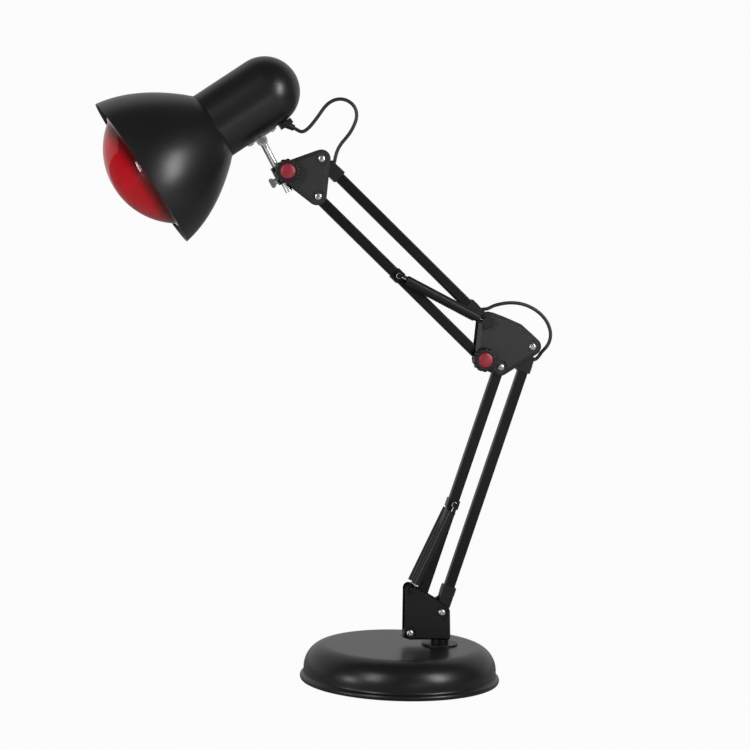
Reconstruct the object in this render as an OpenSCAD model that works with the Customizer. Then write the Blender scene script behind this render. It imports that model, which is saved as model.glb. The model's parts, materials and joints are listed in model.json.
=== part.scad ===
// Infrared heat therapy lamp: a red reflector bulb in a domed shade, carried by two
// linked pairs of square bars with pull springs on a heavy round base.
// Millimetres, +Z up, -Y is the near side with the knobs, the lamp faces -X.

/* [Base] */
// Diameter of the base over its rolled foot edge
base_d = 200; // [192:2:212]
// Height of the flat base top above the floor
base_h = 36; // [34:1:40]
// Steel thickness of the base cover
base_wall = 1.2; // [0.8:0.1:1.6]
// How far the rounded shoulder reaches in from the side wall
shoulder_run = 22; // [16:1:26]
// Thickness of the soft foot pad
pad_t = 2; // [1.5:0.5:3]
// Diameter of the iron weight inside the base
weight_d = 150; // [120:2:154]
// Thickness of the iron weight
weight_t = 11; // [8:0.5:12]
// Distance from the base centre to the swivel post
post_x = 40; // [34:1:44]
// Outer diameter of the swivel post tube
post_d = 12; // [11:0.5:14]
// Diameter of the collar that rests on the bush
collar_d = 18; // [16:1:24]
// Diameter of the bush washer on the base top
bush_d = 36; // [30:1:44]

/* [Bars] */
// Length of the lower bars between their pivots
lower_len = 281.2; // [240:0.2:320]
// Length of the upper bars between their pivots
upper_len = 230.9; // [200:0.1:260]
// Distance between the two lower pivots of each end
lower_gap = 38.1; // [36:0.1:40]
// Distance between the two upper pivots of each end
upper_gap = 37; // [35:0.1:39]
// Outside width of the square bars
bar_w = 10; // [9:0.1:10.2]
// Steel thickness of the square bars
bar_wall = 0.8; // [0.6:0.1:1]
// Length of the ribbed end caps on the cord bars
cap_len = 17.5; // [14:0.5:24]

/* [Plates] */
// Clear width between the near and far plates
plate_gap = 13; // [12.8:0.1:14]
// Sheet thickness of the pressed plates
plate_t = 1.2; // [1:0.1:1.4]
// Depth of the pressed tray edge
tray_h = 2.4; // [2:0.1:2.8]
// Width of the bevel round the elbow and head plates
tray_bevel = 4; // [2:0.5:4.5]
// Diameter of the pivot screws
screw_d = 4; // [3.5:0.1:4.4]
// Diameter of the pivot screw heads
head_d = 6.8; // [6.6:0.1:8.4]

/* [Springs] */
// Diameter of the black sleeves over the springs
sleeve_d = 9; // [8.4:0.1:9.2]
// Distance of each spring from the middle plane
spring_y = 11.2; // [11.2:0.1:12]
// Wire diameter of the springs
wire_d = 1.2; // [1:0.1:1.3]
// Distance between neighbouring spring curls
curl_pitch = 1.8; // [1.8:0.1:2.2]

/* [Knobs] */
// Diameter of the fluted knobs
knob_d = 24; // [20:1:27]
// Height of the fluted knobs
knob_h = 11.5; // [9:0.5:14]
// Diameter of the red knob caps
knob_cap_d = 15; // [13:0.5:17.5]

/* [Stem] */
// Diameter of the chrome stem
stem_d = 7; // [6.8:0.1:7.4]
// Distance from the clamp centre to the lamp hinge
stem_reach = 37; // [35:1:42]
// How far the stem passes below the clamp centre
stem_tail = 19; // [12:1:22]
// Length of the clamp block along the stem
clamp_len = 18; // [16:1:20]

/* [Lamp head] */
// Diameter of the shade at its mouth
shade_d = 158; // [152:1:170]
// Sheet thickness of the shade
shade_t = 1; // [0.8:0.1:1.2]
// Diameter of the lamp housing
housing_d = 68.5; // [67:0.5:69]
// Wall thickness of the lamp housing
housing_t = 1.5; // [1.2:0.1:1.8]
// Diameter of the reflector bulb
bulb_d = 125; // [118:1:128]
// Outside diameter of the lamp socket
socket_d = 42; // [38:1:46]

/* [Mains lead] */
// Diameter of the mains cord
cord_d = 3.5; // [3.2:0.1:3.6]
// Length of the plug body
plug_len = 34; // [28:1:36]
// Height of the in-line switch
switch_h = 15; // [14:0.5:17]

/* [Fits] */
// Radial clearance of pivots and turning fits
fit = 0.05; // [0.03:0.01:0.08]
// Radial clearance of the open linkage pivots
open_fit = 0.2; // [0.15:0.05:0.3]

/* [Hidden] */
$fn = 48;

black = [0.1, 0.1, 0.11];
grey = [0.22, 0.22, 0.23];
chrome = [0.78, 0.79, 0.8];
red = [0.6, 0.12, 0.16];

// rest pose of the two linked arms, angles above +X
lower_a = 72.6;
upper_a = 137.3;
lower_gap_a = 33.2;
upper_gap_a = 86.2;
lower_spring_a = 65.4;
lower_spring_len = 94.7;

// pivots in the middle plane, [x, z]
function pol(l, a) = [l * cos(a), l * sin(a)];
function v3(p, y = 0) = [p[0], y, p[1]];
bracket_h = 33.5;
A2 = [post_x, base_h + bracket_h];
A1 = A2 - pol(lower_gap, lower_gap_a);
B1 = A1 + pol(lower_len, lower_a);
B2 = A2 + pol(lower_len, lower_a);
C1 = B1 + [-17.9, 7.3];
C2 = C1 + pol(upper_gap, upper_gap_a);
D1 = C1 + pol(upper_len, upper_a);
D2 = C2 + pol(upper_len, upper_a);
H = D1 + [-31.7, 23.6];
LT = A1 + pol(136.2, lower_a);
S = LT - pol(lower_spring_len, lower_spring_a);
UT = C1 + pol(119.6, upper_a);
upper_spring_len = norm(UT - C2);
upper_spring_a = atan2(UT[1] - C2[1], UT[0] - C2[0]);

bar_h = bar_w / 2;
gap_h = plate_gap / 2;
face_y = gap_h + tray_h;
floor_y = gap_h + plate_t;
bar_over = 6.5;
cap_from = 9.5;
cap_out = 6.4;
cord_r = cord_d / 2;
cord_off = bar_h - bar_wall - cord_r - 0.2;

// stem frame: s runs up the stem, the stem axis lies 6.3 to the lower left of H
stem_a = 119.7;
stem_off = 6.3;
K = H + pol(stem_off, stem_a + 90) + pol(stem_reach, stem_a);

// lamp frame: local z from the mouth to the dome, local x towards the stem
lamp_a = 35;
hinge_x = housing_d / 2 + 3.75;
hinge_z = 115.5;
mouth = K - pol(hinge_x, lamp_a - 90) - pol(hinge_z, lamp_a);

// ---------- helpers ----------
module at_pivot(p, a = 0) {
  translate([p[0], 0, p[1]])
    rotate([0, -a, 0])
      children();
}

// a round bar across the object from y0 to y1
module cross_pin(p, y0, y1, d) {
  translate([p[0], y0, p[1]])
    rotate([-90, 0, 0])
      cylinder(h = y1 - y0, d = d);
}

module ring(h, do, di) {
  difference() {
    cylinder(h = h, d = do);
    translate([0, 0, -1])
      cylinder(h = h + 2, d = di);
  }
}

module cross_ring(p, y0, y1, do, di) {
  translate([p[0], y0, p[1]])
    rotate([-90, 0, 0])
      ring(y1 - y0, do, di);
}

module rounded_square(w, r) {
  square([w, w - 2 * r], center = true);
  square([w - 2 * r, w], center = true);
  for (x = [-1, 1], y = [-1, 1])
    translate([x * (w / 2 - r), y * (w / 2 - r)])
      circle(r = r);
}

module both_sides() {
  children();
  mirror([0, 1, 0])
    children();
}

function unit(v) = v / norm(v);
// direction of travel at point i of a route
function heading(p, i) = unit(p[min(i + 1, len(p) - 1)] - p[max(i - 1, 0)]);
// rings of a round tube along a route, the side vector is kept square to up
function tube_points(p, r, n, up) = [for (i = [0 : len(p) - 1])
  let (t = heading(p, i), a = unit(cross(up, t)), b = cross(t, a))
  for (k = [0 : n - 1]) p[i] + r * (cos(360 * k / n) * a + sin(360 * k / n) * b)];
function tube_faces(m, n) = concat(
  [[for (k = [0 : n - 1]) k]],
  [[for (k = [0 : n - 1]) m * n - 1 - k]],
  [for (i = [0 : m - 2], k = [0 : n - 1])
    [i * n + k, (i + 1) * n + k, (i + 1) * n + (k + 1) % n]],
  [for (i = [0 : m - 2], k = [0 : n - 1])
    [i * n + k, (i + 1) * n + (k + 1) % n, i * n + (k + 1) % n]]);
module tube(p, d, n = 8, up = [0, 1, 0]) {
  polyhedron(points = tube_points(p, d / 2, n, up), faces = tube_faces(len(p), n));
}

// smallest gap between strands of a tube that are not neighbours along it
function near_gap(p, d, skip) = min([for (i = [0 : 2 : len(p) - 1 - skip])
  min([for (j = [i + skip : len(p) - 1]) norm(p[i] - p[j])])]) - d;

// ---------- base ----------
wall_r = base_d / 2 - 3.5;
shoulder_rise = base_h - 12;
pad_d = base_d - 16;
plate_d = 2 * (wall_r - base_wall) - 2.4;
plate_z = pad_t;
weight_z = plate_z + 1.2;
weight_top = weight_z + weight_t;
post_bottom = base_h - 5;
bush_t = 1.5;
grommet_z = 11;
standoffs = [60, 180, 300];
standoff_r = 55;
tail_a = -9;
grommet_a = 125 + tail_a;

function shoulder(o) = [for (t = [0 : 6 : 90])
  [wall_r - shoulder_run + (shoulder_run - o) * cos(t), 12 + (shoulder_rise - o) * sin(t)]];

module base_cover() {
  color(black)
  difference() {
    union() {
      rotate_extrude($fn = 96)
        polygon(concat([[post_d / 2, base_h]], [for (i = [0 : 15]) shoulder(0)[15 - i]],
          [[wall_r, 7.2], [wall_r + 1.1, 6.2], [base_d / 2 - 0.8, 5.6], [base_d / 2, 4.2],
          [base_d / 2, 2.4], [base_d / 2 - 0.6, 1.2], [base_d / 2 - 2, 0.6],
          [wall_r - base_wall, 0.6]],
          shoulder(base_wall), [[post_d / 2, base_h - base_wall]]));
      rotate_extrude($fn = 48)
        polygon([[0, base_h - base_wall], [8, base_h - base_wall], [8, base_h], [0, base_h]]);
      for (a = standoffs)
        rotate([0, 0, a])
          translate([standoff_r, 0, weight_top + 0.2])
            ring(base_h - base_wall - weight_top - 0.2 + 0.1, 9, 3.4);
    }
    translate([post_x, 0, base_h - 5])
      cylinder(h = 10, d = post_d + 4 + 2 * fit);
    rotate([0, 0, grommet_a])
      translate([wall_r - 6, 0, grommet_z])
        rotate([0, 90, 0])
          cylinder(h = 12, d = 6.6);
  }
}

module base_weight() {
  color(grey)
  difference() {
    translate([0, 0, weight_z])
      cylinder(h = weight_t, d = weight_d, $fn = 96);
    for (a = standoffs)
      rotate([0, 0, a])
        translate([standoff_r, 0, weight_z - 1])
          cylinder(h = weight_t + 2, d = 4);
  }
}

module base_plate() {
  color(grey)
  difference() {
    translate([0, 0, plate_z])
      cylinder(h = 1.2, d = plate_d, $fn = 96);
    for (a = standoffs)
      rotate([0, 0, a])
        translate([standoff_r, 0, plate_z - 1])
          cylinder(h = 4, d = 3.4);
  }
}

module base_screws() {
  color(chrome)
  for (a = standoffs)
    rotate([0, 0, a])
      translate([standoff_r, 0, plate_z]) {
        translate([0, 0, -1.3])
          cylinder(h = 1.3, d = 7);
        cylinder(h = weight_top - plate_z + 8, d = 3.2);
      }
}

module foot_pad() {
  color(black)
  difference() {
    cylinder(h = pad_t, d = pad_d, $fn = 96);
    for (a = standoffs)
      rotate([0, 0, a])
        translate([standoff_r, 0, pad_t - 1.35])
          cylinder(h = 3, d = 7.6);
  }
}

module cord_grommet() {
  color(black)
  rotate([0, 0, grommet_a])
    translate([wall_r, 0, grommet_z])
      rotate([0, 90, 0])
        difference() {
          union() {
            translate([0, 0, -base_wall - 2.2])
              cylinder(h = 2, d = 8.6);
            translate([0, 0, -base_wall - 0.3])
              cylinder(h = base_wall + 0.7, d = 6.4);
            translate([0, 0, 0.2])
              cylinder(h = 1.6, d = 8.6);
            translate([0, 0, 1.7])
              cylinder(h = 7, d1 = 6.8, d2 = 5.4);
          }
          translate([0, 0, -10])
            cylinder(h = 30, d = cord_d + 0.2);
        }
}

module post_bush() {
  color(black)
  translate([post_x, 0, base_h]) {
    ring(bush_t, bush_d, post_d + 2 * fit);
    translate([0, 0, -base_wall])
      ring(base_wall + 0.1, post_d + 4, post_d + 2 * fit);
  }
}

// ---------- swivel bracket ----------
collar_h = 4.5;
block_z = base_h + bush_t + collar_h;

module swivel_post() {
  color(black)
  difference() {
    union() {
      translate([post_x, 0, post_bottom])
        cylinder(h = block_z - post_bottom + 1, d = post_d);
      translate([post_x, 0, base_h + bush_t + 0.05])
        cylinder(h = collar_h - 0.05, d = collar_d);
      translate([post_x - 9, -gap_h, block_z])
        cube([18, 2 * gap_h, 3]);
      translate([post_x - 7, -gap_h, block_z + 2.4])
        cube([12.5, 2 * gap_h, 7.6]);
    }
    translate([post_x, 0, post_bottom - 1])
      cylinder(h = 60, d = 8);
  }
}

module post_nut() {
  color(chrome)
  translate([post_x, 0, base_h - base_wall - 3.1])
    difference() {
      union() {
        cylinder(h = 2.4, d = 22, $fn = 6);
        translate([0, 0, 2.4])
          cylinder(h = 0.6, d = 22);
      }
      translate([0, 0, -1])
        cylinder(h = 6, d = post_d + 2 * fit);
    }
}

// pressed plate: a shallow tray with bevelled edges and open pockets at the screws
// rims: list of [x, z, radius], bores and pockets: lists of [x, z]
module tray(rims, bores, pockets, bevel, pocket_d = 13) {
  skin = plate_t * sqrt(1 + pow(bevel / tray_h, 2));
  lean = bevel * (tray_h - plate_t) / tray_h;
  difference() {
    union() {
      difference() {
        hull()
          for (c = rims)
            translate([c[0], c[1], 0])
              cylinder(h = tray_h, r1 = c[2], r2 = max(c[2] - bevel, c[2] * 0.4), $fn = 32);
        hull()
          for (c = rims)
            translate([c[0], c[1], -0.01])
              cylinder(h = tray_h - plate_t, r1 = max(c[2] - skin, 0.4),
                r2 = max(c[2] - skin - lean, 0.3), $fn = 32);
      }
      intersection() {
        hull()
          for (c = rims)
            translate([c[0], c[1], 0])
              cylinder(h = tray_h, r1 = c[2], r2 = max(c[2] - bevel, c[2] * 0.4), $fn = 32);
        for (p = pockets)
          translate([p[0], p[1], 0])
            cylinder(h = tray_h, d = pocket_d + 2.4);
      }
    }
    for (p = pockets)
      translate([p[0], p[1], plate_t])
        cylinder(h = tray_h, d = pocket_d);
    for (p = bores)
      translate([p[0], p[1], -1])
        cylinder(h = tray_h + 2, d = p[2]);
  }
}

module near_tray(rims, bores, pockets, bevel = tray_bevel) {
  color(grey)
  translate([0, -gap_h, 0])
    rotate([90, 0, 0])
      tray(rims, bores, pockets, bevel);
}

function bore(p, d) = [p[0], p[1], d];
plate_bore = screw_d + 0.2;
base_bevel = 0.8 * tray_h;
base_rims = [[post_x - 29.5, base_h + 14, 8], [S[0] - 2, S[1] + 0.2, 5.5],
  [A2[0], A2[1], 8.5], [post_x + 7, block_z + 2.6, 2.6]];
module base_bracket_near() {
  near_tray(base_rims, [bore(A1, plate_bore), bore(A2, plate_bore), bore(S, 4.2)], [A1, A2],
    base_bevel);
}

module base_bracket_far() {
  mirror([0, 1, 0])
    base_bracket_near();
}

// domed screw head with a cross recess, its top at z = 0
module pan_head() {
  difference() {
    rotate_extrude()
      polygon(concat([[0, 0]],
        [for (t = [15 : 15 : 90]) [head_d / 2 * sin(t), 1.2 * (1 - cos(t))]],
        [[head_d / 2, 2.2], [0, 2.2]]));
    for (a = [20, 110])
      rotate([0, 0, a])
        translate([-1.9, -0.45, -1])
          cube([3.8, 0.9, 2.1]);
  }
}

// screw with its head near, nut far, and a nylon washer each side of the bar
module pivot_bolt(p, washers = true, y_near = -99, y_far = 99) {
  y0 = y_near < -50 ? -floor_y : y_near;
  y1 = y_far > 50 ? floor_y + 3.6 : y_far;
  cross_pin(p, y0 - 0.01, y1, screw_d);
  if (y_near < -50)
    translate([p[0], -floor_y - 2.2, p[1]])
      rotate([-90, 0, 0])
        pan_head();
  if (y_far > 50)
    translate([p[0], floor_y, p[1]])
      rotate([-90, 0, 0])
        difference() {
          cylinder(h = 3.2, d = 8.1, $fn = 6);
          translate([0, 0, -1])
            cylinder(h = 6, d = screw_d + 2 * fit);
        }
  if (washers)
    both_sides()
      cross_ring(p, bar_h + 0.1, gap_h - 0.05, 9, screw_d + 2 * fit);
}

module base_bolts() {
  color(chrome) {
    pivot_bolt(A1);
    pivot_bolt(A2);
    both_sides() {
      cross_pin(S, gap_h + 0.1, spring_y + 2.2, 4);
      cross_pin(S, spring_y + 2, spring_y + 3, 6);
      cross_pin(S, face_y, face_y + 0.6, 6);
    }
  }
}

// ---------- bars ----------
module bar(p, l, a, d_start, d_end) {
  color(black)
  at_pivot(p, a)
    difference() {
      translate([-bar_over, 0, 0])
        rotate([90, 0, 90])
          linear_extrude(l + 2 * bar_over)
            difference() {
              rounded_square(bar_w, 1.3);
              rounded_square(bar_w - 2 * bar_wall, 0.5);
            }
      translate([0, -bar_w, 0])
        rotate([-90, 0, 0])
          cylinder(h = 2 * bar_w, d = d_start);
      translate([l, -bar_w, 0])
        rotate([-90, 0, 0])
          cylinder(h = 2 * bar_w, d = d_end);
      children();
    }
}

module cord_hole(x, side) {
  translate([x, 0, side > 0 ? 0 : -20])
    cylinder(h = 20, d = cord_d + 1.2);
}

run_bore = screw_d + 2 * fit;
open_bore = screw_d + 2 * open_fit;
low_hole = 13.4;
high_hole = 12;

module lower_front_bar() {
  bar(A1, lower_len, lower_a, run_bore, open_bore);
}

module lower_rear_bar() {
  bar(A2, lower_len, lower_a, run_bore, run_bore) {
    cord_hole(low_hole, 1);
    cord_hole(lower_len - high_hole, -1);
  }
}

module upper_low_bar() {
  bar(C1, upper_len, upper_a, run_bore, open_bore);
}

module upper_top_bar() {
  bar(C2, upper_len, upper_a, run_bore, run_bore) {
    cord_hole(high_hole, -1);
    cord_hole(upper_len - high_hole, -1);
  }
}

// ribbed cap on the end of a cord bar, x0 is measured along the bar
// notch: the cord turns back to the pivot, so its hole is open towards that end
module end_cap(x0, l, dir, hole_x, hole_side, notch = false) {
  difference() {
    union() {
      translate([x0, -gap_h + 0.3, -cap_out])
        cube([l, 2 * gap_h - 0.6, 2 * cap_out]);
      for (i = [1 : 4])
        translate([x0 + (dir > 0 ? l - 2 * i : 2 * i - 1), -gap_h + 0.3, -cap_out - 0.4])
          cube([1, 2 * gap_h - 0.6, 2 * cap_out + 0.8]);
    }
    translate([x0 - 1, -bar_h - 0.05, -bar_h - 0.05])
      cube([l + 2, bar_w + 0.1, bar_w + 0.1]);
    cord_hole(hole_x, hole_side);
    if (notch)
      translate([x0 - 1, -cord_r - 0.6, hole_side > 0 ? 0 : -20])
        cube([hole_x - x0 + 1, cord_d + 1.2, 20]);
  }
}

module rear_bar_end_caps() {
  color(black)
  at_pivot(A2, lower_a) {
    end_cap(cap_from - 3, cap_len + 3, 1, low_hole, 1, true);
    end_cap(lower_len - cap_from - cap_len, cap_len, -1, lower_len - high_hole, -1);
  }
}

module top_bar_end_caps() {
  color(black)
  at_pivot(C2, upper_a) {
    end_cap(cap_from - 1, cap_len, 1, high_hole, -1, true);
    end_cap(upper_len - cap_from - cap_len + 1, cap_len, -1, upper_len - high_hole, -1);
  }
}

// ---------- springs ----------
clip_w = 9;
pin_d = 3;
module spring_clip(p, a) {
  color(black)
  at_pivot(p, a)
    difference() {
      union() {
        translate([-clip_w / 2, -bar_h - 0.9, -bar_h - 0.9])
          cube([clip_w, bar_w + 1.8, bar_w + 1.8]);
        translate([0, -spring_y - 3.2, 0])
          rotate([-90, 0, 0])
            cylinder(h = 2 * spring_y + 6.4, d = pin_d);
        both_sides()
          translate([0, spring_y + 2.4, 0])
            rotate([-90, 0, 0])
              cylinder(h = 0.9, d = 4.8);
      }
      translate([-clip_w, -bar_h - 0.03, -bar_h - 0.03])
        cube([2 * clip_w, bar_w + 0.06, bar_w + 0.06]);
    }
}

module lower_spring_clip() {
  spring_clip(LT, lower_a);
}

module upper_spring_clip() {
  spring_clip(UT, upper_a);
}

coil_r = 3;
// route of one spring: hook round the pin, then curls from x0 on, then a short straight end
function spring_route(eye, x0, curls) = concat(
  [for (a = [50 : 30 : 320]) [eye * cos(a), 0, eye * sin(a)]],
  [[eye + 0.7, 0, -0.5], [eye + 2.0, 0, 0.1]],
  [for (i = [0 : curls * 8]) let (w = min(1, i / 8), e = min(1, (curls * 8 - i) / 4))
    [x0 + curl_pitch * i / 8, coil_r * w * sin(45 * i), coil_r * w * cos(45 * i)]]);

module spring_pair(p, a, eye, x0, curls) {
  echo(str("spring self gap ", near_gap(spring_route(eye, x0, curls), wire_d, 7)));
  color(chrome)
  at_pivot(p, a)
    for (y = [-1, 1])
      translate([0, y * spring_y, 0])
        tube(spring_route(eye, x0, curls), wire_d, 6, [0.05, 1, 0.02]);
}

module sleeve_pair(p, a, x0, x1) {
  color(black)
  at_pivot(p, a)
    for (y = [-1, 1])
      translate([x0, y * spring_y, 0])
        rotate([0, 90, 0])
          ring(x1 - x0, sleeve_d, sleeve_d - 1.2);
}

// draw hook: an eye on the clip pin and a straight wire back into the sleeve
module hook_pair(p, a, l, reach) {
  color(chrome)
  at_pivot(p, a)
    for (y = [-1, 1])
      translate([l, y * spring_y, 0]) {
        rotate([90, 0, 0])
          rotate_extrude()
            translate([pin_d / 2 + 0.25 + wire_d / 2, 0])
              circle(d = wire_d, $fn = 16);
        translate([-reach, 0, 0])
          rotate([0, 90, 0])
            cylinder(h = reach - pin_d / 2 - 0.25 - wire_d / 2, d = wire_d, $fn = 16);
      }
}

low_eye = 2 + 0.3 + wire_d / 2;
top_eye = 3.5 + 0.3 + wire_d / 2;
module lower_springs() {
  spring_pair(S, lower_spring_a, low_eye, 6.8, 12);
}

module lower_spring_sleeves() {
  sleeve_pair(S, lower_spring_a, 6.5, lower_spring_len - 7);
}

module lower_spring_hooks() {
  hook_pair(S, lower_spring_a, lower_spring_len, 50);
}

module upper_springs() {
  spring_pair(C2, upper_spring_a, top_eye, 10.5, 6);
}

module upper_spring_sleeves() {
  sleeve_pair(C2, upper_spring_a, 9.8, upper_spring_len - 8.5);
}

module upper_spring_hooks() {
  hook_pair(C2, upper_spring_a, upper_spring_len, 50);
}

// ---------- elbow ----------
elbow_rims = [[C2[0], C2[1], 8.5], [C2[0] + 3.4, C2[1] + 1.3, 9], [C2[0] + 15.2, C2[1] - 1.7, 8],
  [C2[0] + 31.2, C2[1] - 8.2, 8], [C2[0] + 40.7, C2[1] - 16.2, 8], [C1[0], C1[1], 9],
  [B1[0], B1[1], 9], [B2[0], B2[1], 9]];
module elbow_plate_near() {
  near_tray(elbow_rims, [bore(C1, plate_bore), bore(C2, plate_bore), bore(B1, plate_bore),
    bore(B2, plate_bore)], [B1, B2, C1]);
}

module elbow_plate_far() {
  mirror([0, 1, 0])
    elbow_plate_near();
}

stud_y = -floor_y - 9;
module elbow_bolts() {
  color(chrome) {
    pivot_bolt(B1);
    pivot_bolt(B2);
    pivot_bolt(C1, true, stud_y);
    pivot_bolt(C2, true, -spring_y - 2, spring_y + 2);
  }
}

// spools outside the plates that hold the upper spring hooks
module spring_bosses() {
  color(black)
  both_sides()
    translate([C2[0], face_y, C2[1]])
      rotate([-90, 0, 0])
        difference() {
          union() {
            cylinder(h = 0.8, d = 11);
            cylinder(h = spring_y - face_y + 3, d = 7);
            translate([0, 0, spring_y - face_y + 1.4])
              cylinder(h = 2.4, d = 12);
          }
          translate([0, 0, -1])
            cylinder(h = spring_y - face_y + 3.4, d = screw_d + 2 * fit);
        }
}

// fluted knob that turns on a fixed stud, its foot stands off the plate by 0.1
module knob(p) {
  translate([p[0], -face_y - 0.1, p[1]])
    rotate([90, 0, 0])
      difference() {
        union() {
          cylinder(h = knob_h - 1.5, d = knob_d);
          translate([0, 0, knob_h - 1.51])
            cylinder(h = 1.51, d1 = knob_d, d2 = knob_d - 3);
        }
        for (i = [0 : 13])
          rotate([0, 0, i * 360 / 14])
            translate([knob_d / 2 + 0.9, 0, -1])
              cylinder(h = knob_h + 2, r = 1.9);
        translate([0, 0, -1])
          cylinder(h = -stud_y - face_y + 1.5, d = screw_d + 2 * fit);
        translate([0, 0, knob_h - 1.5])
          cylinder(h = 3, d = knob_cap_d + 0.2);
      }
}

module knob_cap(p) {
  translate([p[0], -face_y - 0.1 - knob_h + 1.5, p[1]])
    rotate([90, 0, 0])
      rotate_extrude()
        polygon(concat([[0, 0], [knob_cap_d / 2, 0], [knob_cap_d / 2, 1.6]],
          [for (t = [10 : 10 : 90]) [knob_cap_d / 2 * cos(t), 1.6 + 1.5 * sin(t)]]));
}

module elbow_knob() {
  color(black)
    knob(C1);
}

module elbow_knob_cap() {
  color(red)
    knob_cap(C1);
}

// ---------- head bracket, clamp and stem ----------
head_rims = [[D2[0], D2[1], 9], [D1[0], D1[1], 8.5], [H[0], H[1], 9]];
module head_plate_near() {
  near_tray(head_rims, [bore(D1, plate_bore), bore(D2, plate_bore), bore(H, plate_bore)],
    [D1, D2]);
}

module head_plate_far() {
  mirror([0, 1, 0])
    head_plate_near();
}

module head_bolts() {
  color(chrome) {
    pivot_bolt(D1);
    pivot_bolt(D2);
    pivot_bolt(H, false, stud_y, face_y + 0.01);
    translate([H[0], face_y, H[1]])
      rotate([-90, 0, 0])
        cylinder(h = 3.2, d = 8.1, $fn = 6);
  }
}

module head_knob() {
  color(black)
    knob(H);
}

module head_knob_cap() {
  color(red)
    knob_cap(H);
}

// local x up the stem, local z towards the lower left, origin at H
module stem_frame() {
  at_pivot(H, stem_a)
    children();
}

block_y = gap_h - 0.2;
block_n = stem_off + stem_d / 2 + 1.8;
wing_s = -4;
module clamp_block() {
  color(black)
  stem_frame()
    difference() {
      union() {
        translate([-clamp_len / 2, -block_y, 0])
          cube([clamp_len, 2 * block_y, block_n]);
        translate([-6, -block_y, -6.5])
          cube([12, 2 * block_y, 8]);
      }
      translate([0, -20, 0])
        rotate([-90, 0, 0])
          cylinder(h = 40, d = screw_d + 2 * fit);
      translate([-30, 0, stem_off])
        rotate([0, 90, 0])
          cylinder(h = 60, d = stem_d + 2 * fit);
      translate([wing_s, 0, stem_off])
        cylinder(h = 20, d = 3 + 2 * fit);
    }
}

module wing_screw() {
  color(chrome)
  stem_frame()
    translate([wing_s, 0, 0]) {
      translate([0, 0, block_n - 1.7])
        cylinder(h = 3, d = 3);
      translate([0, 0, block_n + 0.3])
        cylinder(h = 2.4, d = 6);
      hull() {
        translate([-2.2, -0.9, block_n + 2])
          cube([4.4, 1.8, 1]);
        for (x = [-2.9, 2.9])
          translate([x, -0.9, block_n + 5.6])
            rotate([-90, 0, 0])
              cylinder(h = 1.8, r = 2.1, $fn = 32);
      }
    }
}

tongue_y = 3.2;
eye_r = 3.2;
module stem_rod() {
  color(chrome)
  at_pivot(H, stem_a)
    difference() {
      union() {
        translate([-stem_tail, 0, stem_off])
          rotate([0, 90, 0])
            cylinder(h = stem_reach + stem_tail, d = stem_d);
        translate([stem_reach, -tongue_y, stem_off])
          rotate([-90, 0, 0])
            cylinder(h = 2 * tongue_y, r = eye_r);
      }
      for (y = [-1, 1])
        translate([stem_reach - 8, y * (tongue_y + 5) - 5, stem_off - 10])
          cube([20, 10, 20]);
      translate([stem_reach, -10, stem_off])
        rotate([-90, 0, 0])
          cylinder(h = 20, d = 3 + 2 * fit);
    }
}

// ---------- lamp head, local z from the mouth to the dome ----------
module lamp_frame() {
  translate([mouth[0], 0, mouth[1]])
    rotate([0, 90 - lamp_a, 0])
      children();
}

ear_in = tongue_y + 0.1;
ear_out = ear_in + 1.5;
dome_z = 144;
shelf_z = 108;
low_screw_z = shelf_z - 3.2;
high_screw_z = hinge_z + 14.5;
strip_x = housing_d / 2 + 0.1;
module knuckle_bracket() {
  color(chrome)
  lamp_frame()
    difference() {
      union() {
        translate([strip_x, -ear_out, low_screw_z - 3.6])
          cube([1.2, 2 * ear_out, high_screw_z - low_screw_z + 7.2]);
        both_sides()
          union() {
            translate([strip_x + 0.5, ear_in, hinge_z - 5])
              cube([hinge_x - strip_x - 0.5, ear_out - ear_in, 10]);
            translate([hinge_x, ear_in, hinge_z])
              rotate([-90, 0, 0])
                cylinder(h = ear_out - ear_in, r = 5);
          }
      }
      translate([hinge_x, -10, hinge_z])
        rotate([-90, 0, 0])
          cylinder(h = 20, d = 3 + 2 * fit);
      translate([strip_x - 20, -10, hinge_z - 10])
        cube([20, 20, 20]);
      translate([strip_x - 1, -ear_in, hinge_z - 4.6])
        cube([2.3, 2 * ear_in, 9.2]);
      for (z = [low_screw_z, high_screw_z])
        translate([30, 0, z])
          rotate([0, 90, 0])
            cylinder(h = 10, d = 3.2);
    }
}

module knuckle_screws() {
  color(chrome)
  lamp_frame() {
    translate([hinge_x, -ear_out - 0.01, hinge_z])
      rotate([-90, 0, 0])
        cylinder(h = 2 * ear_out + 2.6, d = 3);
    translate([hinge_x, -ear_out - 1.8, hinge_z])
      rotate([-90, 0, 0])
        difference() {
          cylinder(h = 1.8, d = 6);
          translate([0, 0, -1])
            cylinder(h = 1.9, d = 2.4, $fn = 6);
        }
    translate([hinge_x, ear_out, hinge_z])
      rotate([-90, 0, 0])
        difference() {
          cylinder(h = 2.2, d = 6, $fn = 6);
          translate([0, 0, -1])
            cylinder(h = 5, d = 3 + 2 * fit);
        }
    for (z = [low_screw_z, high_screw_z])
      translate([housing_d / 2 - housing_t - 1, 0, z])
        rotate([0, 90, 0]) {
          cylinder(h = housing_t + 2.4, d = 3);
          translate([0, 0, housing_t + 2.3])
            cylinder(h = 0.9, d1 = 5, d2 = 4);
          cylinder(h = 0.7, d = 4.6);
        }
  }
}

shade_r = shade_d / 2;
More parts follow.
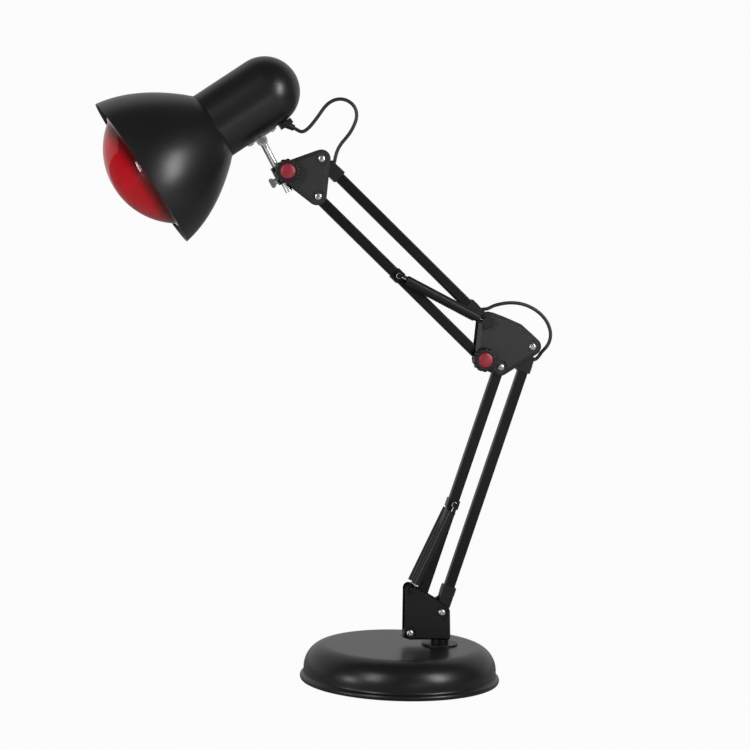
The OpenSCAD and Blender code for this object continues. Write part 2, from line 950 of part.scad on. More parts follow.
// outer profile of the shade: [distance from the mouth, radius], a bell and a short neck
bell_h = 78;
bell_drop = shade_r - housing_d / 2 - 4.75;
shade_line = concat([for (z = [0 : 6 : bell_h]) let (q = z / bell_h)
  [z, shade_r - bell_drop * (0.285 * q + 0.715 * q * q)]],
  [[80.2, housing_d / 2 + 2.2], [82, housing_d / 2 + 0.6]]);
module shade() {
  color(black)
  lamp_frame()
    difference() {
      rotate_extrude($fn = 96)
        polygon(concat(
          [for (p = shade_line) [p[1], p[0]]],
          [[housing_d / 2 + 0.2, 83], [27, 83], [27, 82],
          [housing_d / 2 - 1, 82]],
          [for (i = [0 : len(shade_line) - 1]) let (p = shade_line[len(shade_line) - 1 - i])
            if (p[0] < 80) [p[1] - shade_t, max(0, p[0] - (p[0] > 25 ? 0.5 * shade_t : 0))]]));
      for (a = [0 : 60 : 300])
        rotate([0, 0, a + 30])
          translate([29.5, 0, 80])
            cylinder(h = 5, d = 3.2);
    }
}

housing_r = housing_d / 2;
module housing() {
  color(black)
  lamp_frame()
    difference() {
      union() {
        rotate_extrude($fn = 96)
          polygon(concat(
            [[housing_r, 83.1], [housing_r, dome_z]],
            [for (t = [6 : 6 : 90]) [housing_r * cos(t), dome_z + housing_r * sin(t)]],
            [for (t = [0 : 6 : 90]) let (q = housing_r - housing_t)
              [q * sin(t), dome_z + q * cos(t)]],
            [[housing_r - housing_t, shelf_z + 2], [27.5, shelf_z + 2], [27.5, shelf_z],
            [housing_r - housing_t, shelf_z], [housing_r - housing_t, 85], [28, 85],
            [28, 83.1]]));
      }
      for (z = [low_screw_z, high_screw_z])
        translate([housing_r - 10, 0, z])
          rotate([0, 90, 0])
            cylinder(h = 20, d = 3.2);
      translate([housing_r - 10, 0, gland_z])
        rotate([0, 90, 0])
          cylinder(h = 20, d = 7);
    }
}

cap_d = 26.4;
module lamp_socket() {
  color([0.9, 0.89, 0.86])
  lamp_frame()
    translate([0, 0, shelf_z + 2])
      difference() {
        union() {
          cylinder(h = 4, d = 2 * (housing_r - housing_t) - 0.4);
          cylinder(h = 40, d = socket_d);
        }
        translate([0, 0, -1])
          cylinder(h = 36.2, d = cap_d + 1.2);
        translate([0, 0, -1])
          cylinder(h = 9, d = socket_d - 4);
        for (a = [0 : 90 : 270])
          rotate([0, 0, a + 45])
            translate([socket_d / 2 + 3, 0, -1])
              cylinder(h = 6, d = 3);
      }
}

bulb_r = bulb_d / 2;
face_r = 71.5;
widest_z = 6.8;
face_sag = face_r - sqrt(face_r * face_r - (bulb_r - 3) * (bulb_r - 3));
face_z = -30;
glass_t = 1;
function face_arc(r0, o) = [for (i = [0 : 14]) let (r = (bulb_r - 3 - o) * i / 14)
  [r, face_z + o + face_r - o - sqrt((face_r - o) * (face_r - o) - r * r)]];
module bulb_glass() {
  color([0.7, 0, 0.05, 0.75])
  lamp_frame()
    rotate_extrude($fn = 96)
      polygon(concat(face_arc(0, 0),
        [[bulb_r - 1, 2.6], [bulb_r, widest_z], [bulb_r, 9], [bulb_r - glass_t, 9],
        [bulb_r - glass_t, widest_z], [bulb_r - 1 - glass_t, 3.2]],
        [for (i = [0 : 14]) face_arc(0, glass_t)[14 - i]]));
}

bulb_line = [[9, bulb_r], [16, bulb_r - 1], [24, bulb_r - 3.2], [34, bulb_r - 7.5],
  [46, bulb_r - 14.5], [58, bulb_r - 22], [70, bulb_r - 30], [80, bulb_r - 37],
  [90, 21.2], [100, 19], [110, 17.5], [114, 16], [117, 13.2], [119, 12.1], [125, 12.1]];
module bulb_body() {
  color([0.8, 0.8, 0.82])
  lamp_frame()
    rotate_extrude($fn = 96)
      polygon(concat([for (p = bulb_line) [p[1], p[0]]],
        [for (i = [0 : len(bulb_line) - 1]) let (p = bulb_line[len(bulb_line) - 1 - i])
          [p[1] - glass_t, max(9, p[0] - (p[0] > 112 && p[0] < 120 ? 0.6 : 0))]]));
}

module bulb_cap() {
  color([0.75, 0.65, 0.35])
  lamp_frame()
    rotate_extrude()
      polygon([[12.5, 118.4], [cap_d / 2, 118.4], [cap_d / 2, 139], [9, 142.5], [5.2, 143],
        [4.8, 144.6], [0, 145], [0, 143.6], [4, 143], [4, 142.2], [8.6, 141.8], [12.5, 138.6]]);
}

gland_z = 144;
gland_a = 30;
module cord_gland() {
  color(black)
  lamp_frame()
    difference() {
      union() {
        translate([housing_r - 3, 0, gland_z])
          rotate([0, 90, 0])
            cylinder(h = 8.4, d = 6.8);
        translate([housing_r + 0.1, -5.5, gland_z - 6.5])
          cube([5.3, 11, 13]);
        translate([housing_r + 3, 0, gland_z])
          rotate([0, 90 - gland_a, 0])
            cylinder(h = 9, d1 = 8, d2 = 5.6);
      }
      translate([housing_r + 3, 0, gland_z])
        rotate([0, 90 - gland_a, 0])
          cylinder(h = 20, d = cord_d + 0.2);
    }
}

// ---------- cords ----------
// points are [x, z] offsets from a pivot, chosen by eye along the hanging loops
function route(p, list) = [for (q = list) [p[0] + q[0], 0, p[1] + q[1]]];
gland_tip = mouth + pol(housing_r + 3, lamp_a - 90) + pol(gland_z, lamp_a);
gland_dir = lamp_a - 90 + gland_a;
top_side = pol(1, upper_a - 90);
low_side = pol(1, lower_a + 90);
head_end = D2 - pol(high_hole, upper_a);
head_start = [for (l = [2.5, 7, 11.5]) gland_tip + pol(l, gland_dir)];
head_points = concat(
  [for (q = head_start) v3(q)],
  route(D2, [[-19.5, 25.8], [-14, 28.5], [-8.5, 34.6], [-2.5, 43], [4, 52], [10.6, 57],
    [19.2, 58.8], [27, 56.4], [32.8, 50.3], [34.4, 42.8], [31.8, 33.2], [26.3, 23.5],
    [19, 14]]),
  [v3(head_end + 9.4 * top_side + pol(1.5, upper_a)), v3(head_end + 6.8 * top_side),
  v3(head_end + 2.6 * top_side)]);
module head_cord() {
  color(black)
    tube(head_points, cord_d);
}

elbow_start = C2 + pol(high_hole, upper_a);
elbow_end = B2 - pol(high_hole, lower_a);
elbow_points = concat(
  [v3(elbow_start + 2.6 * top_side), v3(elbow_start + 5.4 * top_side + [0.4, 0])],
  route(C2, [[1.2, 13.2], [6, 15.4], [13.5, 18], [23.5, 19.6], [37.2, 18.6], [50.8, 13],
    [60.2, 5], [66, -5.4], [67, -14], [63.6, -23.2], [58.2, -29.6]]),
  [v3(elbow_end - 7.6 * low_side + [0, 0.4]), v3(elbow_end - 5 * low_side),
  v3(elbow_end - 2.6 * low_side)]);
module elbow_cord() {
  color(black)
    tube(elbow_points, cord_d);
}

bracket_top = A2 + pol(low_hole, lower_a);
bracket_points = concat(
  [v3(bracket_top + 2.6 * low_side), v3(bracket_top + 5.4 * low_side)],
  route(A2, [[-8.4, 9.8], [-10.6, 3], [-10.4, -4.4], [-7.4, -11], [-3, -15.6], [-0.4, -20],
    [0, -24.5]]),
  [[post_x, 0, base_h - 1], [post_x, 0, post_bottom - 0.6]]);
module bracket_cord() {
  color(black)
    tube(bracket_points, cord_d);
}

module run_cord(p, a, l, x0, x1, side) {
  color(black)
  at_pivot(p, a)
    translate([x0, 0, side * cord_off])
      rotate([0, 90, 0])
        cylinder(h = x1 - x0, d = cord_d, $fn = 24);
}

module lower_bar_cord() {
  run_cord(A2, lower_a, lower_len, low_hole + cord_r + 0.5,
    lower_len - high_hole - cord_r - 0.5, -0.2);
}

module upper_bar_cord() {
  run_cord(C2, upper_a, upper_len, high_hole + cord_r + 0.5,
    upper_len - high_hole - cord_r - 0.5, -1);
}

// the lead lies behind the base in a frame turned with the swivel view, u right, v away
function uv(u, v, z) = [u * cos(tail_a) - v * sin(tail_a), u * sin(tail_a) + v * cos(tail_a), z];
lay = cord_r + 0.1;
weight_clear = weight_top + cord_r + 0.35;
lead_top = post_bottom - 1.7;
drop = lead_top - weight_clear;
switch_z = switch_h / 2;
grommet_dir = [cos(grommet_a), sin(grommet_a)];
inner_turn = 52 * grommet_dir;
inner_dir = unit(inner_turn - [post_x, 0]);
lead_a = concat(
  [[post_x, 0, lead_top + 0.7]],
  [for (t = [0 : 30 : 90]) [post_x + drop * (1 - cos(t)) * inner_dir[0],
    drop * (1 - cos(t)) * inner_dir[1], lead_top - drop * sin(t)]],
  [[(post_x + inner_turn[0]) / 2, inner_turn[1] / 2, weight_clear]],
  [for (q = [[55, 0], [63, 0], [72, -0.1], [78.5, -0.9], [84.5, -3]])
    [(q[0] + 0) * grommet_dir[0], q[0] * grommet_dir[1], weight_clear + q[1]]],
  [for (q = [[90.5, 11.2], [96, 11], [106, 10.8]])
    [q[0] * grommet_dir[0], q[0] * grommet_dir[1], q[1]]],
  [for (t = [0 : 25 : 125]) let (a = 215 - t)
    uv(-51.3 + 14 * cos(a), 98 + 14 * sin(a), 10.4 - (10.4 - switch_z) * t / 125)],
  [uv(-46, 112, switch_z), uv(-43, 112, switch_z)]);
lead_b = [uv(10, 112, switch_z), uv(11.5, 112.1, switch_z), uv(15.5, 113, 7),
  uv(19.4, 115.4, 6), uv(22.8, 119.5, 4.6), uv(26.1, 123.6, 3), uv(30.5, 126.4, 2.1),
  uv(34, 127, lay), uv(35.5, 127, lay)];

coil_in = 13.5;
coil_pitch = cord_d + 0.45;
coil_turns = 3.625;
coil_out = coil_in + coil_turns * coil_pitch;
coil_u = 39;
coil_v = 127 + coil_out;
coil_steps = 24;
half = 360 * coil_turns;
function smooth(x) = x * x * (3 - 2 * x);
function coil_at(t) = let (
  r = t < half ? coil_out - coil_pitch * t / 360
    : t < half + 180 ? coil_in - 0.7 * sin(t - half)
    : coil_in + coil_pitch * (t - half - 180) / 360,
  z = lay + coil_pitch * smooth(max(0, min(1, (t - half) / 180))))
  uv(coil_u + r * cos(t - 90), coil_v + r * sin(t - 90), z);
coil_total = 2 * half + 180;
coil_points = concat(
  [uv(coil_u - 3.5, 127, lay), uv(coil_u - 1.7, 127, lay)],
  [for (t = [0 : 360 / coil_steps : coil_total - 1]) coil_at(t)],
  [coil_at(coil_total), coil_at(coil_total) + uv(0, -1.7, 0),
  coil_at(coil_total) + uv(0, -3.5, 0)]);
coil_exit = [coil_u - coil_out, coil_v - 3.5];
plug_v = coil_exit[1] - 1.5 - 14;
lead_c = concat(
  [uv(coil_exit[0], coil_exit[1], lay + coil_pitch)],
  [for (t = [0 : 22.5 : 90]) uv(coil_exit[0] - 14 + 14 * cos(t),
    coil_exit[1] - 1.5 - 14 * sin(t), lay + coil_pitch + (7 - lay - coil_pitch) * t / 90)],
  [uv(coil_exit[0] - 15.5, plug_v, 7), uv(-10.5, plug_v, 7)]);

module cord_coil() {
  echo(str("coil self gap ", near_gap(coil_points, cord_d, 18)));
  color(black)
    tube(coil_points, cord_d, 6, [0, 0, 1]);
}

module mains_cord() {
  color(black) {
    tube(lead_a, cord_d, 8, unit([-inner_dir[1], inner_dir[0], 0.001]));
    tube(lead_b, cord_d, 8, [0, 0, 1]);
    tube(lead_c, cord_d, 8, [0, 0, 1]);
  }
}

module tail_frame() {
  rotate([0, 0, tail_a])
    children();
}

module plug_body() {
  color(black)
  tail_frame()
    difference() {
      translate([-8 - plug_len, plug_v, 7])
        union() {
          hull() {
            for (y = [-1, 1], z = [-1, 1])
              translate([0, y * 9, z * 4])
                rotate([0, 90, 0])
                  cylinder(h = plug_len - 10, r = 3, $fn = 24);
            translate([plug_len, 0, 0])
              rotate([0, -90, 0])
                cylinder(h = 1, d = 9, $fn = 24);
          }
        }
      translate([-14, plug_v, 7])
        rotate([0, 90, 0])
          cylinder(h = 20, d = cord_d + 0.2);
      for (y = [-1, 1])
        translate([-9 - plug_len, plug_v + y * 6.35 - 0.8, 7 - 3.25])
          cube([9, 1.6, 6.5]);
    }
}

module plug_pins() {
  color(chrome)
  tail_frame()
    for (y = [-1, 1])
      translate([-8 - plug_len - 17, plug_v + y * 6.35 - 0.75, 7 - 3.15])
        difference() {
          cube([24.8, 1.5, 6.3]);
          translate([3.5, -1, 3.15])
            rotate([-90, 0, 0])
              cylinder(h = 4, d = 3);
        }
}

rocker_r = 7.2;
rocker_u = -16.5;
rocker_z = switch_h - 6.2;
module switch_case() {
  color(black)
  tail_frame()
    translate([0, 112, 0])
      difference() {
        union() {
          translate([-38, -10, 0])
            cube([43, 20, switch_h]);
          for (u = [[-44, 0], [5, 1]])
            translate([u[0], -7, 1.5])
              cube([6, 14, switch_h - 3]);
        }
        translate([rocker_u, -5.2, rocker_z])
          rotate([-90, 0, 0])
            cylinder(h = 10.4, r = rocker_r + 0.4);
        translate([rocker_u - rocker_r - 0.4, -5.2, rocker_z])
          cube([2 * rocker_r + 0.8, 10.4, 20]);
        translate([rocker_u, -8, rocker_z])
          rotate([-90, 0, 0])
            cylinder(h = 16, d = 2 + 2 * fit);
        for (u = [[-45, -42.4], [9.4, 12]])
          translate([u[0], 0, switch_z])
            rotate([0, 90, 0])
              cylinder(h = u[1] - u[0], d = cord_d + 0.2);
      }
}

// rocker with two shallow faces, its trunnions sit in the case
module switch_rocker() {
  color(red)
  tail_frame()
    translate([rocker_u, 112, rocker_z]) {
      difference() {
        translate([0, -4.9, 0])
          rotate([-90, 0, 0])
            cylinder(h = 9.8, r = rocker_r);
        for (s = [-1, 1])
          translate([0, 0, 5.4])
            rotate([0, s * 8, 0])
              translate([s > 0 ? 0 : -20, -10, 0])
                cube([20, 20, 10]);
      }
      translate([0, -7.6, 0])
        rotate([-90, 0, 0])
          cylinder(h = 15.2, d = 2);
    }
}

// ---------- one line per sub-part ----------
base_cover();
base_weight();
base_plate();
base_screws();
foot_pad();
cord_grommet();
post_bush();
swivel_post();
post_nut();
base_bracket_near();
base_bracket_far();
base_bolts();
lower_front_bar();
lower_rear_bar();
rear_bar_end_caps();
lower_spring_clip();
lower_springs();
lower_spring_sleeves();
lower_spring_hooks();
elbow_plate_near();
elbow_plate_far();
elbow_bolts();
spring_bosses();
elbow_knob();
elbow_knob_cap();
upper_low_bar();
upper_top_bar();
top_bar_end_caps();
upper_spring_clip();
upper_springs();
upper_spring_sleeves();
upper_spring_hooks();
head_plate_near();
head_plate_far();
head_bolts();
head_knob();
head_knob_cap();
clamp_block();
wing_screw();
stem_rod();
knuckle_bracket();
knuckle_screws();
shade();
housing();
lamp_socket();
bulb_glass();
bulb_body();
bulb_cap();
cord_gland();
head_cord();
upper_bar_cord();
elbow_cord();
lower_bar_cord();
bracket_cord();
mains_cord();
cord_coil();
plug_body();
plug_pins();
switch_case();
switch_rocker();
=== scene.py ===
"""Infrared heat therapy lamp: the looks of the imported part.

Laid out as an add-on and run as a script. Metres, +Z up, the near side with the
knobs is -Y and the lamp faces -X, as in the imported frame.
"""

import json
import math

import bpy
import numpy as np
from bpy.props import FloatProperty, FloatVectorProperty, IntProperty, PointerProperty
from mathutils import Matrix


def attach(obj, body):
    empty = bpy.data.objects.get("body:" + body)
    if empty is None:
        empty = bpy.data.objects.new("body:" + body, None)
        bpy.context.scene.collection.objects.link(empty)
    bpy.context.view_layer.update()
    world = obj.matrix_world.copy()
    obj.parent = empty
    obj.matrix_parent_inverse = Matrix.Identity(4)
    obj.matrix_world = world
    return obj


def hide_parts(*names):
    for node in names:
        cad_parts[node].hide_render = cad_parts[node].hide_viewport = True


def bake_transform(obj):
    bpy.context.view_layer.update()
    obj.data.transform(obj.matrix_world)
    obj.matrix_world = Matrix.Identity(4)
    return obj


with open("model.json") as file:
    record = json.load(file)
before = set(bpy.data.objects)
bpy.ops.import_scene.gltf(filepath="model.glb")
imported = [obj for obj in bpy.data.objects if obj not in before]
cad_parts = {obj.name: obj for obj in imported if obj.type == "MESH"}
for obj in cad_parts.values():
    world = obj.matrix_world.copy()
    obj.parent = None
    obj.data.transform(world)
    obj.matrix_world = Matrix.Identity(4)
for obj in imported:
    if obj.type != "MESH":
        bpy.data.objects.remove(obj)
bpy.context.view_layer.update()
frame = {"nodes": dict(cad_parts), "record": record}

bl_info = {
    "name": "Heat lamp looks",
    "version": (1, 0, 0),
    "blender": (4, 5, 0),
    "location": "3D View > Sidebar > Heat lamp",
    "description": "Surfaces, finishes and studio for the infrared heat therapy lamp",
    "category": "Object",
}

MM = 0.001


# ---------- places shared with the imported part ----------
# Lengths in mm, angles in degrees above +X. A and B are the pivots at the ends of the lower
# arm, C and D those of the upper arm, H is the head knob, K the hinge of the lamp head, LT and
# S are the ends of the lower springs.
def pol(length, angle):
    """Plane offset of a length in mm at an angle in degrees above +X."""
    a = math.radians(angle)
    return np.array([length * math.cos(a), length * math.sin(a)])


LOWER_A, UPPER_A = 72.6, 137.3
LOWER_LEN, UPPER_LEN = 281.2, 230.9
LOWER_SPRING_A, UPPER_SPRING_A = 65.4, 153.93670490871
STEM_A, LAMP_A, GLAND_A, TAIL_A = 119.7, 35.0, -25.0, -9.0
A2 = np.array([40.0, 69.5])
A1 = A2 - pol(38.1, 33.2)
B1, B2 = A1 + pol(LOWER_LEN, LOWER_A), A2 + pol(LOWER_LEN, LOWER_A)
C1 = B1 + np.array([-17.9, 7.3])
C2 = C1 + pol(37, 86.2)
D1, D2 = C1 + pol(UPPER_LEN, UPPER_A), C2 + pol(UPPER_LEN, UPPER_A)
H = D1 + np.array([-31.7, 23.6])
LT = A1 + pol(136.2, LOWER_A)
S = LT - pol(94.7, LOWER_SPRING_A)
K = H + pol(6.3, STEM_A + 90) + pol(37, STEM_A)
MOUTH = K - pol(38, LAMP_A - 90) - pol(115.5, LAMP_A)
TOP_SIDE = pol(1, UPPER_A - 90)
LOW_SIDE = pol(1, LOWER_A + 90)
GLAND_TIP = MOUTH + pol(37.25, LAMP_A - 90) + pol(144, LAMP_A)
BAR_SIDE, BAR_WALL, CORD_SIZE = 10.0, 0.8, 3.5


def flat(points):
    """Middle-plane points in mm as metres in space."""
    p = np.asarray(points, float)
    return np.stack([p[:, 0], np.zeros(len(p)), p[:, 1]], 1) * MM


def tail_uv(u, v, z):
    """A point behind the base in mm, u along the photograph's right and v away, as metres."""
    c, s = math.cos(math.radians(TAIL_A)), math.sin(math.radians(TAIL_A))
    u, v, z = np.broadcast_arrays(*(np.asarray(q, float) for q in (u, v, z)))
    return np.stack([u * c - v * s, u * s + v * c, z], -1) * MM


# ---------- surfaces ----------
def mesh_piece(name, co, faces, uv=None, sharp=35.0):
    """A mesh object at the origin from points and faces, smooth except across sharp edges."""
    mesh = bpy.data.meshes.new(name)
    mesh.from_pydata(np.asarray(co, float).reshape(-1, 3).tolist(), [], faces)
    mesh.update()
    if uv is not None:
        layer = mesh.uv_layers.new(name="along")
        index = np.empty(len(mesh.loops), np.int64)
        mesh.loops.foreach_get("vertex_index", index)
        layer.data.foreach_set("uv", np.asarray(uv, np.float32)[index].ravel())
    mesh.shade_smooth()
    mesh.set_sharp_from_angle(angle=math.radians(sharp))
    piece = bpy.data.objects.new(name, mesh)
    bpy.context.scene.collection.objects.link(piece)
    return piece


def grid_faces(m, n, closed=False):
    """Quads of m rings of n points, the last ring joined to the first if closed."""
    i = np.arange(m if closed else m - 1)[:, None]
    k = np.arange(n)[None, :]
    i2, k2 = (i + 1) % m, (k + 1) % n
    quads = np.stack([i * n + k, i2 * n + k, i2 * n + k2, i * n + k2], -1)
    return quads.reshape(-1, 4).tolist()


def smooth_path(points, spacing):
    """Natural cubic curve through the points over chord length, at even steps of arc."""
    p = np.asarray(points, float)
    t = np.concatenate([[0], np.cumsum(np.linalg.norm(np.diff(p, axis=0), axis=1))])
    h = np.diff(t)
    n = len(p)
    a = np.eye(n)
    r = np.zeros_like(p)
    inner = np.arange(1, n - 1)
    a[inner, inner - 1] = h[:-1]
    a[inner, inner] = 2 * (h[:-1] + h[1:])
    a[inner, inner + 1] = h[1:]
    slope = np.diff(p, axis=0) / h[:, None]
    r[1:-1] = 6 * np.diff(slope, axis=0)
    bend = np.linalg.solve(a, r)
    s = np.linspace(0, t[-1], max(400, n * 40))
    k = np.clip(np.searchsorted(t, s, side="right") - 1, 0, n - 2)
    w = ((s - t[k]) / h[k])[:, None]
    hk = h[k][:, None]
    curve = ((1 - w) * p[k] + w * p[k + 1]
             + ((1 - w) ** 3 - (1 - w)) * hk ** 2 / 6 * bend[k]
             + (w ** 3 - w) * hk ** 2 / 6 * bend[k + 1])
    return even_path(curve, spacing)


def even_path(curve, spacing):
    """The same line with points at even steps of its length."""
    run = np.concatenate([[0], np.cumsum(np.linalg.norm(np.diff(curve, axis=0), axis=1))])
    steps = max(2, int(round(run[-1] / spacing)))
    at = np.linspace(0, run[-1], steps + 1)
    return np.stack([np.interp(at, run, curve[:, k]) for k in range(3)], 1)


def path_length(path):
    return float(np.linalg.norm(np.diff(path, axis=0), axis=1).sum())


def tube_piece(name, path, radius, sides, up=(0.0, 1.0, 0.0)):
    """A round tube with flat ends: at each path point a circle of the given radius square to
    the path, its start direction square to up. u of the map is metres along, v the share
    round."""
    path = np.asarray(path, float)
    m = len(path)
    ahead = np.gradient(path, axis=0)
    ahead /= np.linalg.norm(ahead, axis=1)[:, None]
    side = np.cross(np.broadcast_to(up, ahead.shape), ahead)
    side /= np.linalg.norm(side, axis=1)[:, None]
    other = np.cross(ahead, side)
    turn = np.linspace(0, 2 * math.pi, sides, endpoint=False)
    r = np.broadcast_to(radius, (m,))[:, None, None]
    rings = path[:, None, :] + r * (np.cos(turn)[None, :, None] * side[:, None, :]
                                    + np.sin(turn)[None, :, None] * other[:, None, :])
    run = np.concatenate([[0], np.cumsum(np.linalg.norm(np.diff(path, axis=0), axis=1))])
    uv = np.stack(np.broadcast_arrays(run[:, None], turn[None, :] / (2 * math.pi)), -1)
    faces = [q[::-1] for q in grid_faces(m, sides)]
    faces.append(list(range(sides - 1, -1, -1)))
    faces.append(list(range((m - 1) * sides, m * sides)))
    return mesh_piece(name, rings, faces, uv.reshape(-1, 2), sharp=50)


def lathe_piece(name, line, turns, to=None):
    """Surface of revolution: every profile point (r, z) in mm turned once round local z,
    placed by a 3 by 4 matrix to. A line that starts off the axis is a closed loop."""
    line = np.asarray(line, float) * MM
    r, z = line[:, 0], line[:, 1]
    if np.sum(r * np.roll(z, -1) - np.roll(r, -1) * z) < 0:
        line = line[::-1]
    closed = line[0, 0] > 1e-9
    turn = np.linspace(0, 2 * math.pi, turns, endpoint=False)
    rings = np.stack([line[:, None, 0] * np.cos(turn), line[:, None, 0] * np.sin(turn),
                      np.repeat(line[:, 1:2], turns, 1)], -1)
    return shell_piece(name, rings, to, closed)


def shell_piece(name, rings, to=None, closed=False, sharp=32.0):
    """A mesh through rings of points in metres, placed by a matrix, its poles closed by
    merging equal points."""
    faces = [[q[0], q[3], q[2], q[1]] for q in grid_faces(*rings.shape[:2], closed)]
    co = rings.reshape(-1, 3)
    if to is not None:
        co = co @ to[:, :3].T + to[:, 3]
    key = np.round(co / 1e-6).astype(np.int64)
    _, first, back = np.unique(key, axis=0, return_index=True, return_inverse=True)
    back = back.ravel()
    kept = []
    for face in back[np.asarray(faces)]:
        ring = [v for v, w in zip(face, np.roll(face, 1)) if v != w]
        if len(ring) > 2:
            kept.append([int(v) for v in ring])
    return mesh_piece(name, co[first], kept, sharp=sharp)


def rounded(corner, before, after, radius, steps=5):
    """Points of a corner rounded by a quadratic blend over a radius towards its neighbours."""
    c, b, a = (np.asarray(q, float) for q in (corner, before, after))
    p0 = c + (b - c) / np.linalg.norm(b - c) * radius
    p2 = c + (a - c) / np.linalg.norm(a - c) * radius
    t = np.linspace(0, 1, steps)[:, None]
    return (1 - t) ** 2 * p0 + 2 * t * (1 - t) * c + t ** 2 * p2


def soften(line, radii):
    """A profile whose corners are rounded by the given radii, 0 keeps a corner."""
    line = [np.asarray(p, float) for p in line]
    out = [line[0][None]]
    for i in range(1, len(line) - 1):
        out.append(rounded(line[i], line[i - 1], line[i + 1], radii[i])
                   if radii[i] else line[i][None])
    out.append(line[-1][None])
    return np.concatenate(out)


def spline_line(points, count):
    """A smooth profile of count points through the given ones."""
    p = np.asarray(points, float)
    p3 = np.stack([p[:, 0], np.zeros(len(p)), p[:, 1]], 1)
    curve = smooth_path(p3, path_length(p3) / count)
    return curve[:, [0, 2]]


def across(x, z, y):
    """Matrix that stands local z along world -Y at a place in mm."""
    m = np.zeros((3, 4))
    m[0, 0], m[2, 1], m[1, 2] = 1.0, 1.0, -1.0
    m[:, 3] = np.array([x, y, z]) * MM
    return m


def along_axis(origin, angle):
    """Matrix whose local z runs at an angle above +X from an origin in the middle plane, and
    whose local x lies a quarter turn below it."""
    c, s = math.cos(math.radians(angle)), math.sin(math.radians(angle))
    m = np.zeros((3, 4))
    m[:, 0], m[:, 1], m[:, 2] = (s, 0, -c), (0, 1, 0), (c, 0, s)
    m[:, 3] = np.array([origin[0], 0, origin[1]]) * MM
    return m


def facing(right, up, back, place):
    """World matrix of a camera or a light from its three axes and its place."""
    return Matrix([[right[k], up[k], back[k], place[k]] for k in range(3)] + [[0, 0, 0, 1]])


# ---------- finishes ----------
class Sock:
    """A shader value: arithmetic on it adds Math nodes, numbers alone stay numbers."""

    def __init__(self, tree, out):
        self.tree, self.out = tree, out

    def _math(self, kind, a, b=None):
        node = self.tree.nodes.new("ShaderNodeMath")
        node.operation = kind
        for slot, value in zip(node.inputs, (a, b)):
            if isinstance(value, Sock):
                self.tree.links.new(value.out, slot)
            elif value is not None:
                slot.default_value = value
        return Sock(self.tree, node.outputs[0])

    def __add__(self, other):
        return self._math("ADD", self, other)

    __radd__ = __add__

    def __mul__(self, other):
        return self._math("MULTIPLY", self, other)

    __rmul__ = __mul__

    def __sub__(self, other):
        return self._math("SUBTRACT", self, other)

    def __rsub__(self, other):
        return self._math("SUBTRACT", other, self)

    def __truediv__(self, other):
        return self._math("DIVIDE", self, other)

    def clamp(self, low=0.0, high=1.0):
        return self._math("MINIMUM", self._math("MAXIMUM", self, low), high)


def camera_ray(tree):
    """1 for what the camera sees straight, 0 for all other light."""
    return Sock(tree, tree.nodes.new("ShaderNodeLightPath").outputs["Is Camera Ray"])


class Finish:
    """A material under construction, with one method that adds any node."""

    def __init__(self, name):
        self.material = bpy.data.materials.new(name)
        self.material.use_nodes = True
        self.tree = self.material.node_tree
        self.tree.nodes.clear()

    def add(self, kind, settings=None, out=0, **values):
        """A node of a type: its settings first, then values or links by socket name, or by
        socket number as in _1."""
        node = self.tree.nodes.new(kind)
        for key, value in (settings or {}).items():
            setattr(node, key, value)
        for key, value in values.items():
            slot = node.inputs[int(key[1:]) if key[0] == "_" else key.replace("_", " ")]
            if isinstance(value, Sock):
                self.tree.links.new(value.out, slot)
            else:
                slot.default_value = value
        return Sock(self.tree, node.outputs[out]) if node.outputs else None

    def place(self):
        """Object coordinates in metres."""
        return self.add("ShaderNodeTexCoord", out=3)

    def coordinate(self, axis):
        """One object coordinate in metres, 0 for x and 2 for z."""
        return self.add("ShaderNodeSeparateXYZ", out=axis, Vector=self.place())

    def noise(self, size, detail, rough):
        """Noise whose features are about size metres across."""
        return self.add("ShaderNodeTexNoise", Vector=self.place(), Scale=1.0 / size,
                        Detail=detail, Roughness=rough)

    def blend(self, factor, a, b):
        """Colour a to colour b by a factor."""
        node = self.tree.nodes.new("ShaderNodeMix")
        node.data_type = "RGBA"
        for slot, value in ((node.inputs[0], factor), (node.inputs[6], a), (node.inputs[7], b)):
            if isinstance(value, Sock):
                self.tree.links.new(value.out, slot)
            elif slot.type == "RGBA":
                slot.default_value = tuple(value)[:3] + (1.0,)
            else:
                slot.default_value = value
        return Sock(self.tree, node.outputs[2])

    def column(self, x, z, radius):
        """1 within a radius of the line along Y through x and z, all in metres, 0 outside."""
        dx, dz = self.coordinate(0) - x, self.coordinate(2) - z
        return ((1.0 - (dx * dx + dz * dz) / (radius * radius)) * 8.0).clamp()

    def below(self, height, blur):
        """1 below a height in metres, 0 above it, with a blur between."""
        return ((height - self.coordinate(2)) / blur).clamp()

    def bump(self, height, depth, edge=0.0):
        """Normals from a height in 0..1 that stands for depth metres, over edges that look
        rounded to a radius in metres."""
        if not edge:
            return self.add("ShaderNodeBump", Height=height, Distance=depth)
        soft = self.add("ShaderNodeBevel", {"samples": 4}, Radius=edge)
        return self.add("ShaderNodeBump", Height=height, Distance=depth, Normal=soft)

    def surface(self, **values):
        """The shader and the output; returns the finished material."""
        shader = self.add("ShaderNodeBsdfPrincipled", **values)
        self.add("ShaderNodeOutputMaterial", Surface=shader)
        return self.material

    def seen_as(self, shader, shown, share=1.0):
        """The output: the light meets one shader, the camera is shown a share of another."""
        both = self.add("ShaderNodeMixShader", Fac=camera_ray(self.tree) * share, _1=shader,
                        _2=shown)
        self.add("ShaderNodeOutputMaterial", Surface=both)
        return self.material


# Height below which a low colour is painted over the paint, and the blur at that height.
LOW_PARTS, LOW_BLUR = 130 * MM, 10 * MM
# Radius and colour of the near-black patch painted on the chrome round the lower spring pin.
PIN_R = 4.6 * MM
PIN_BLACK = (0.03, 0.03, 0.03)
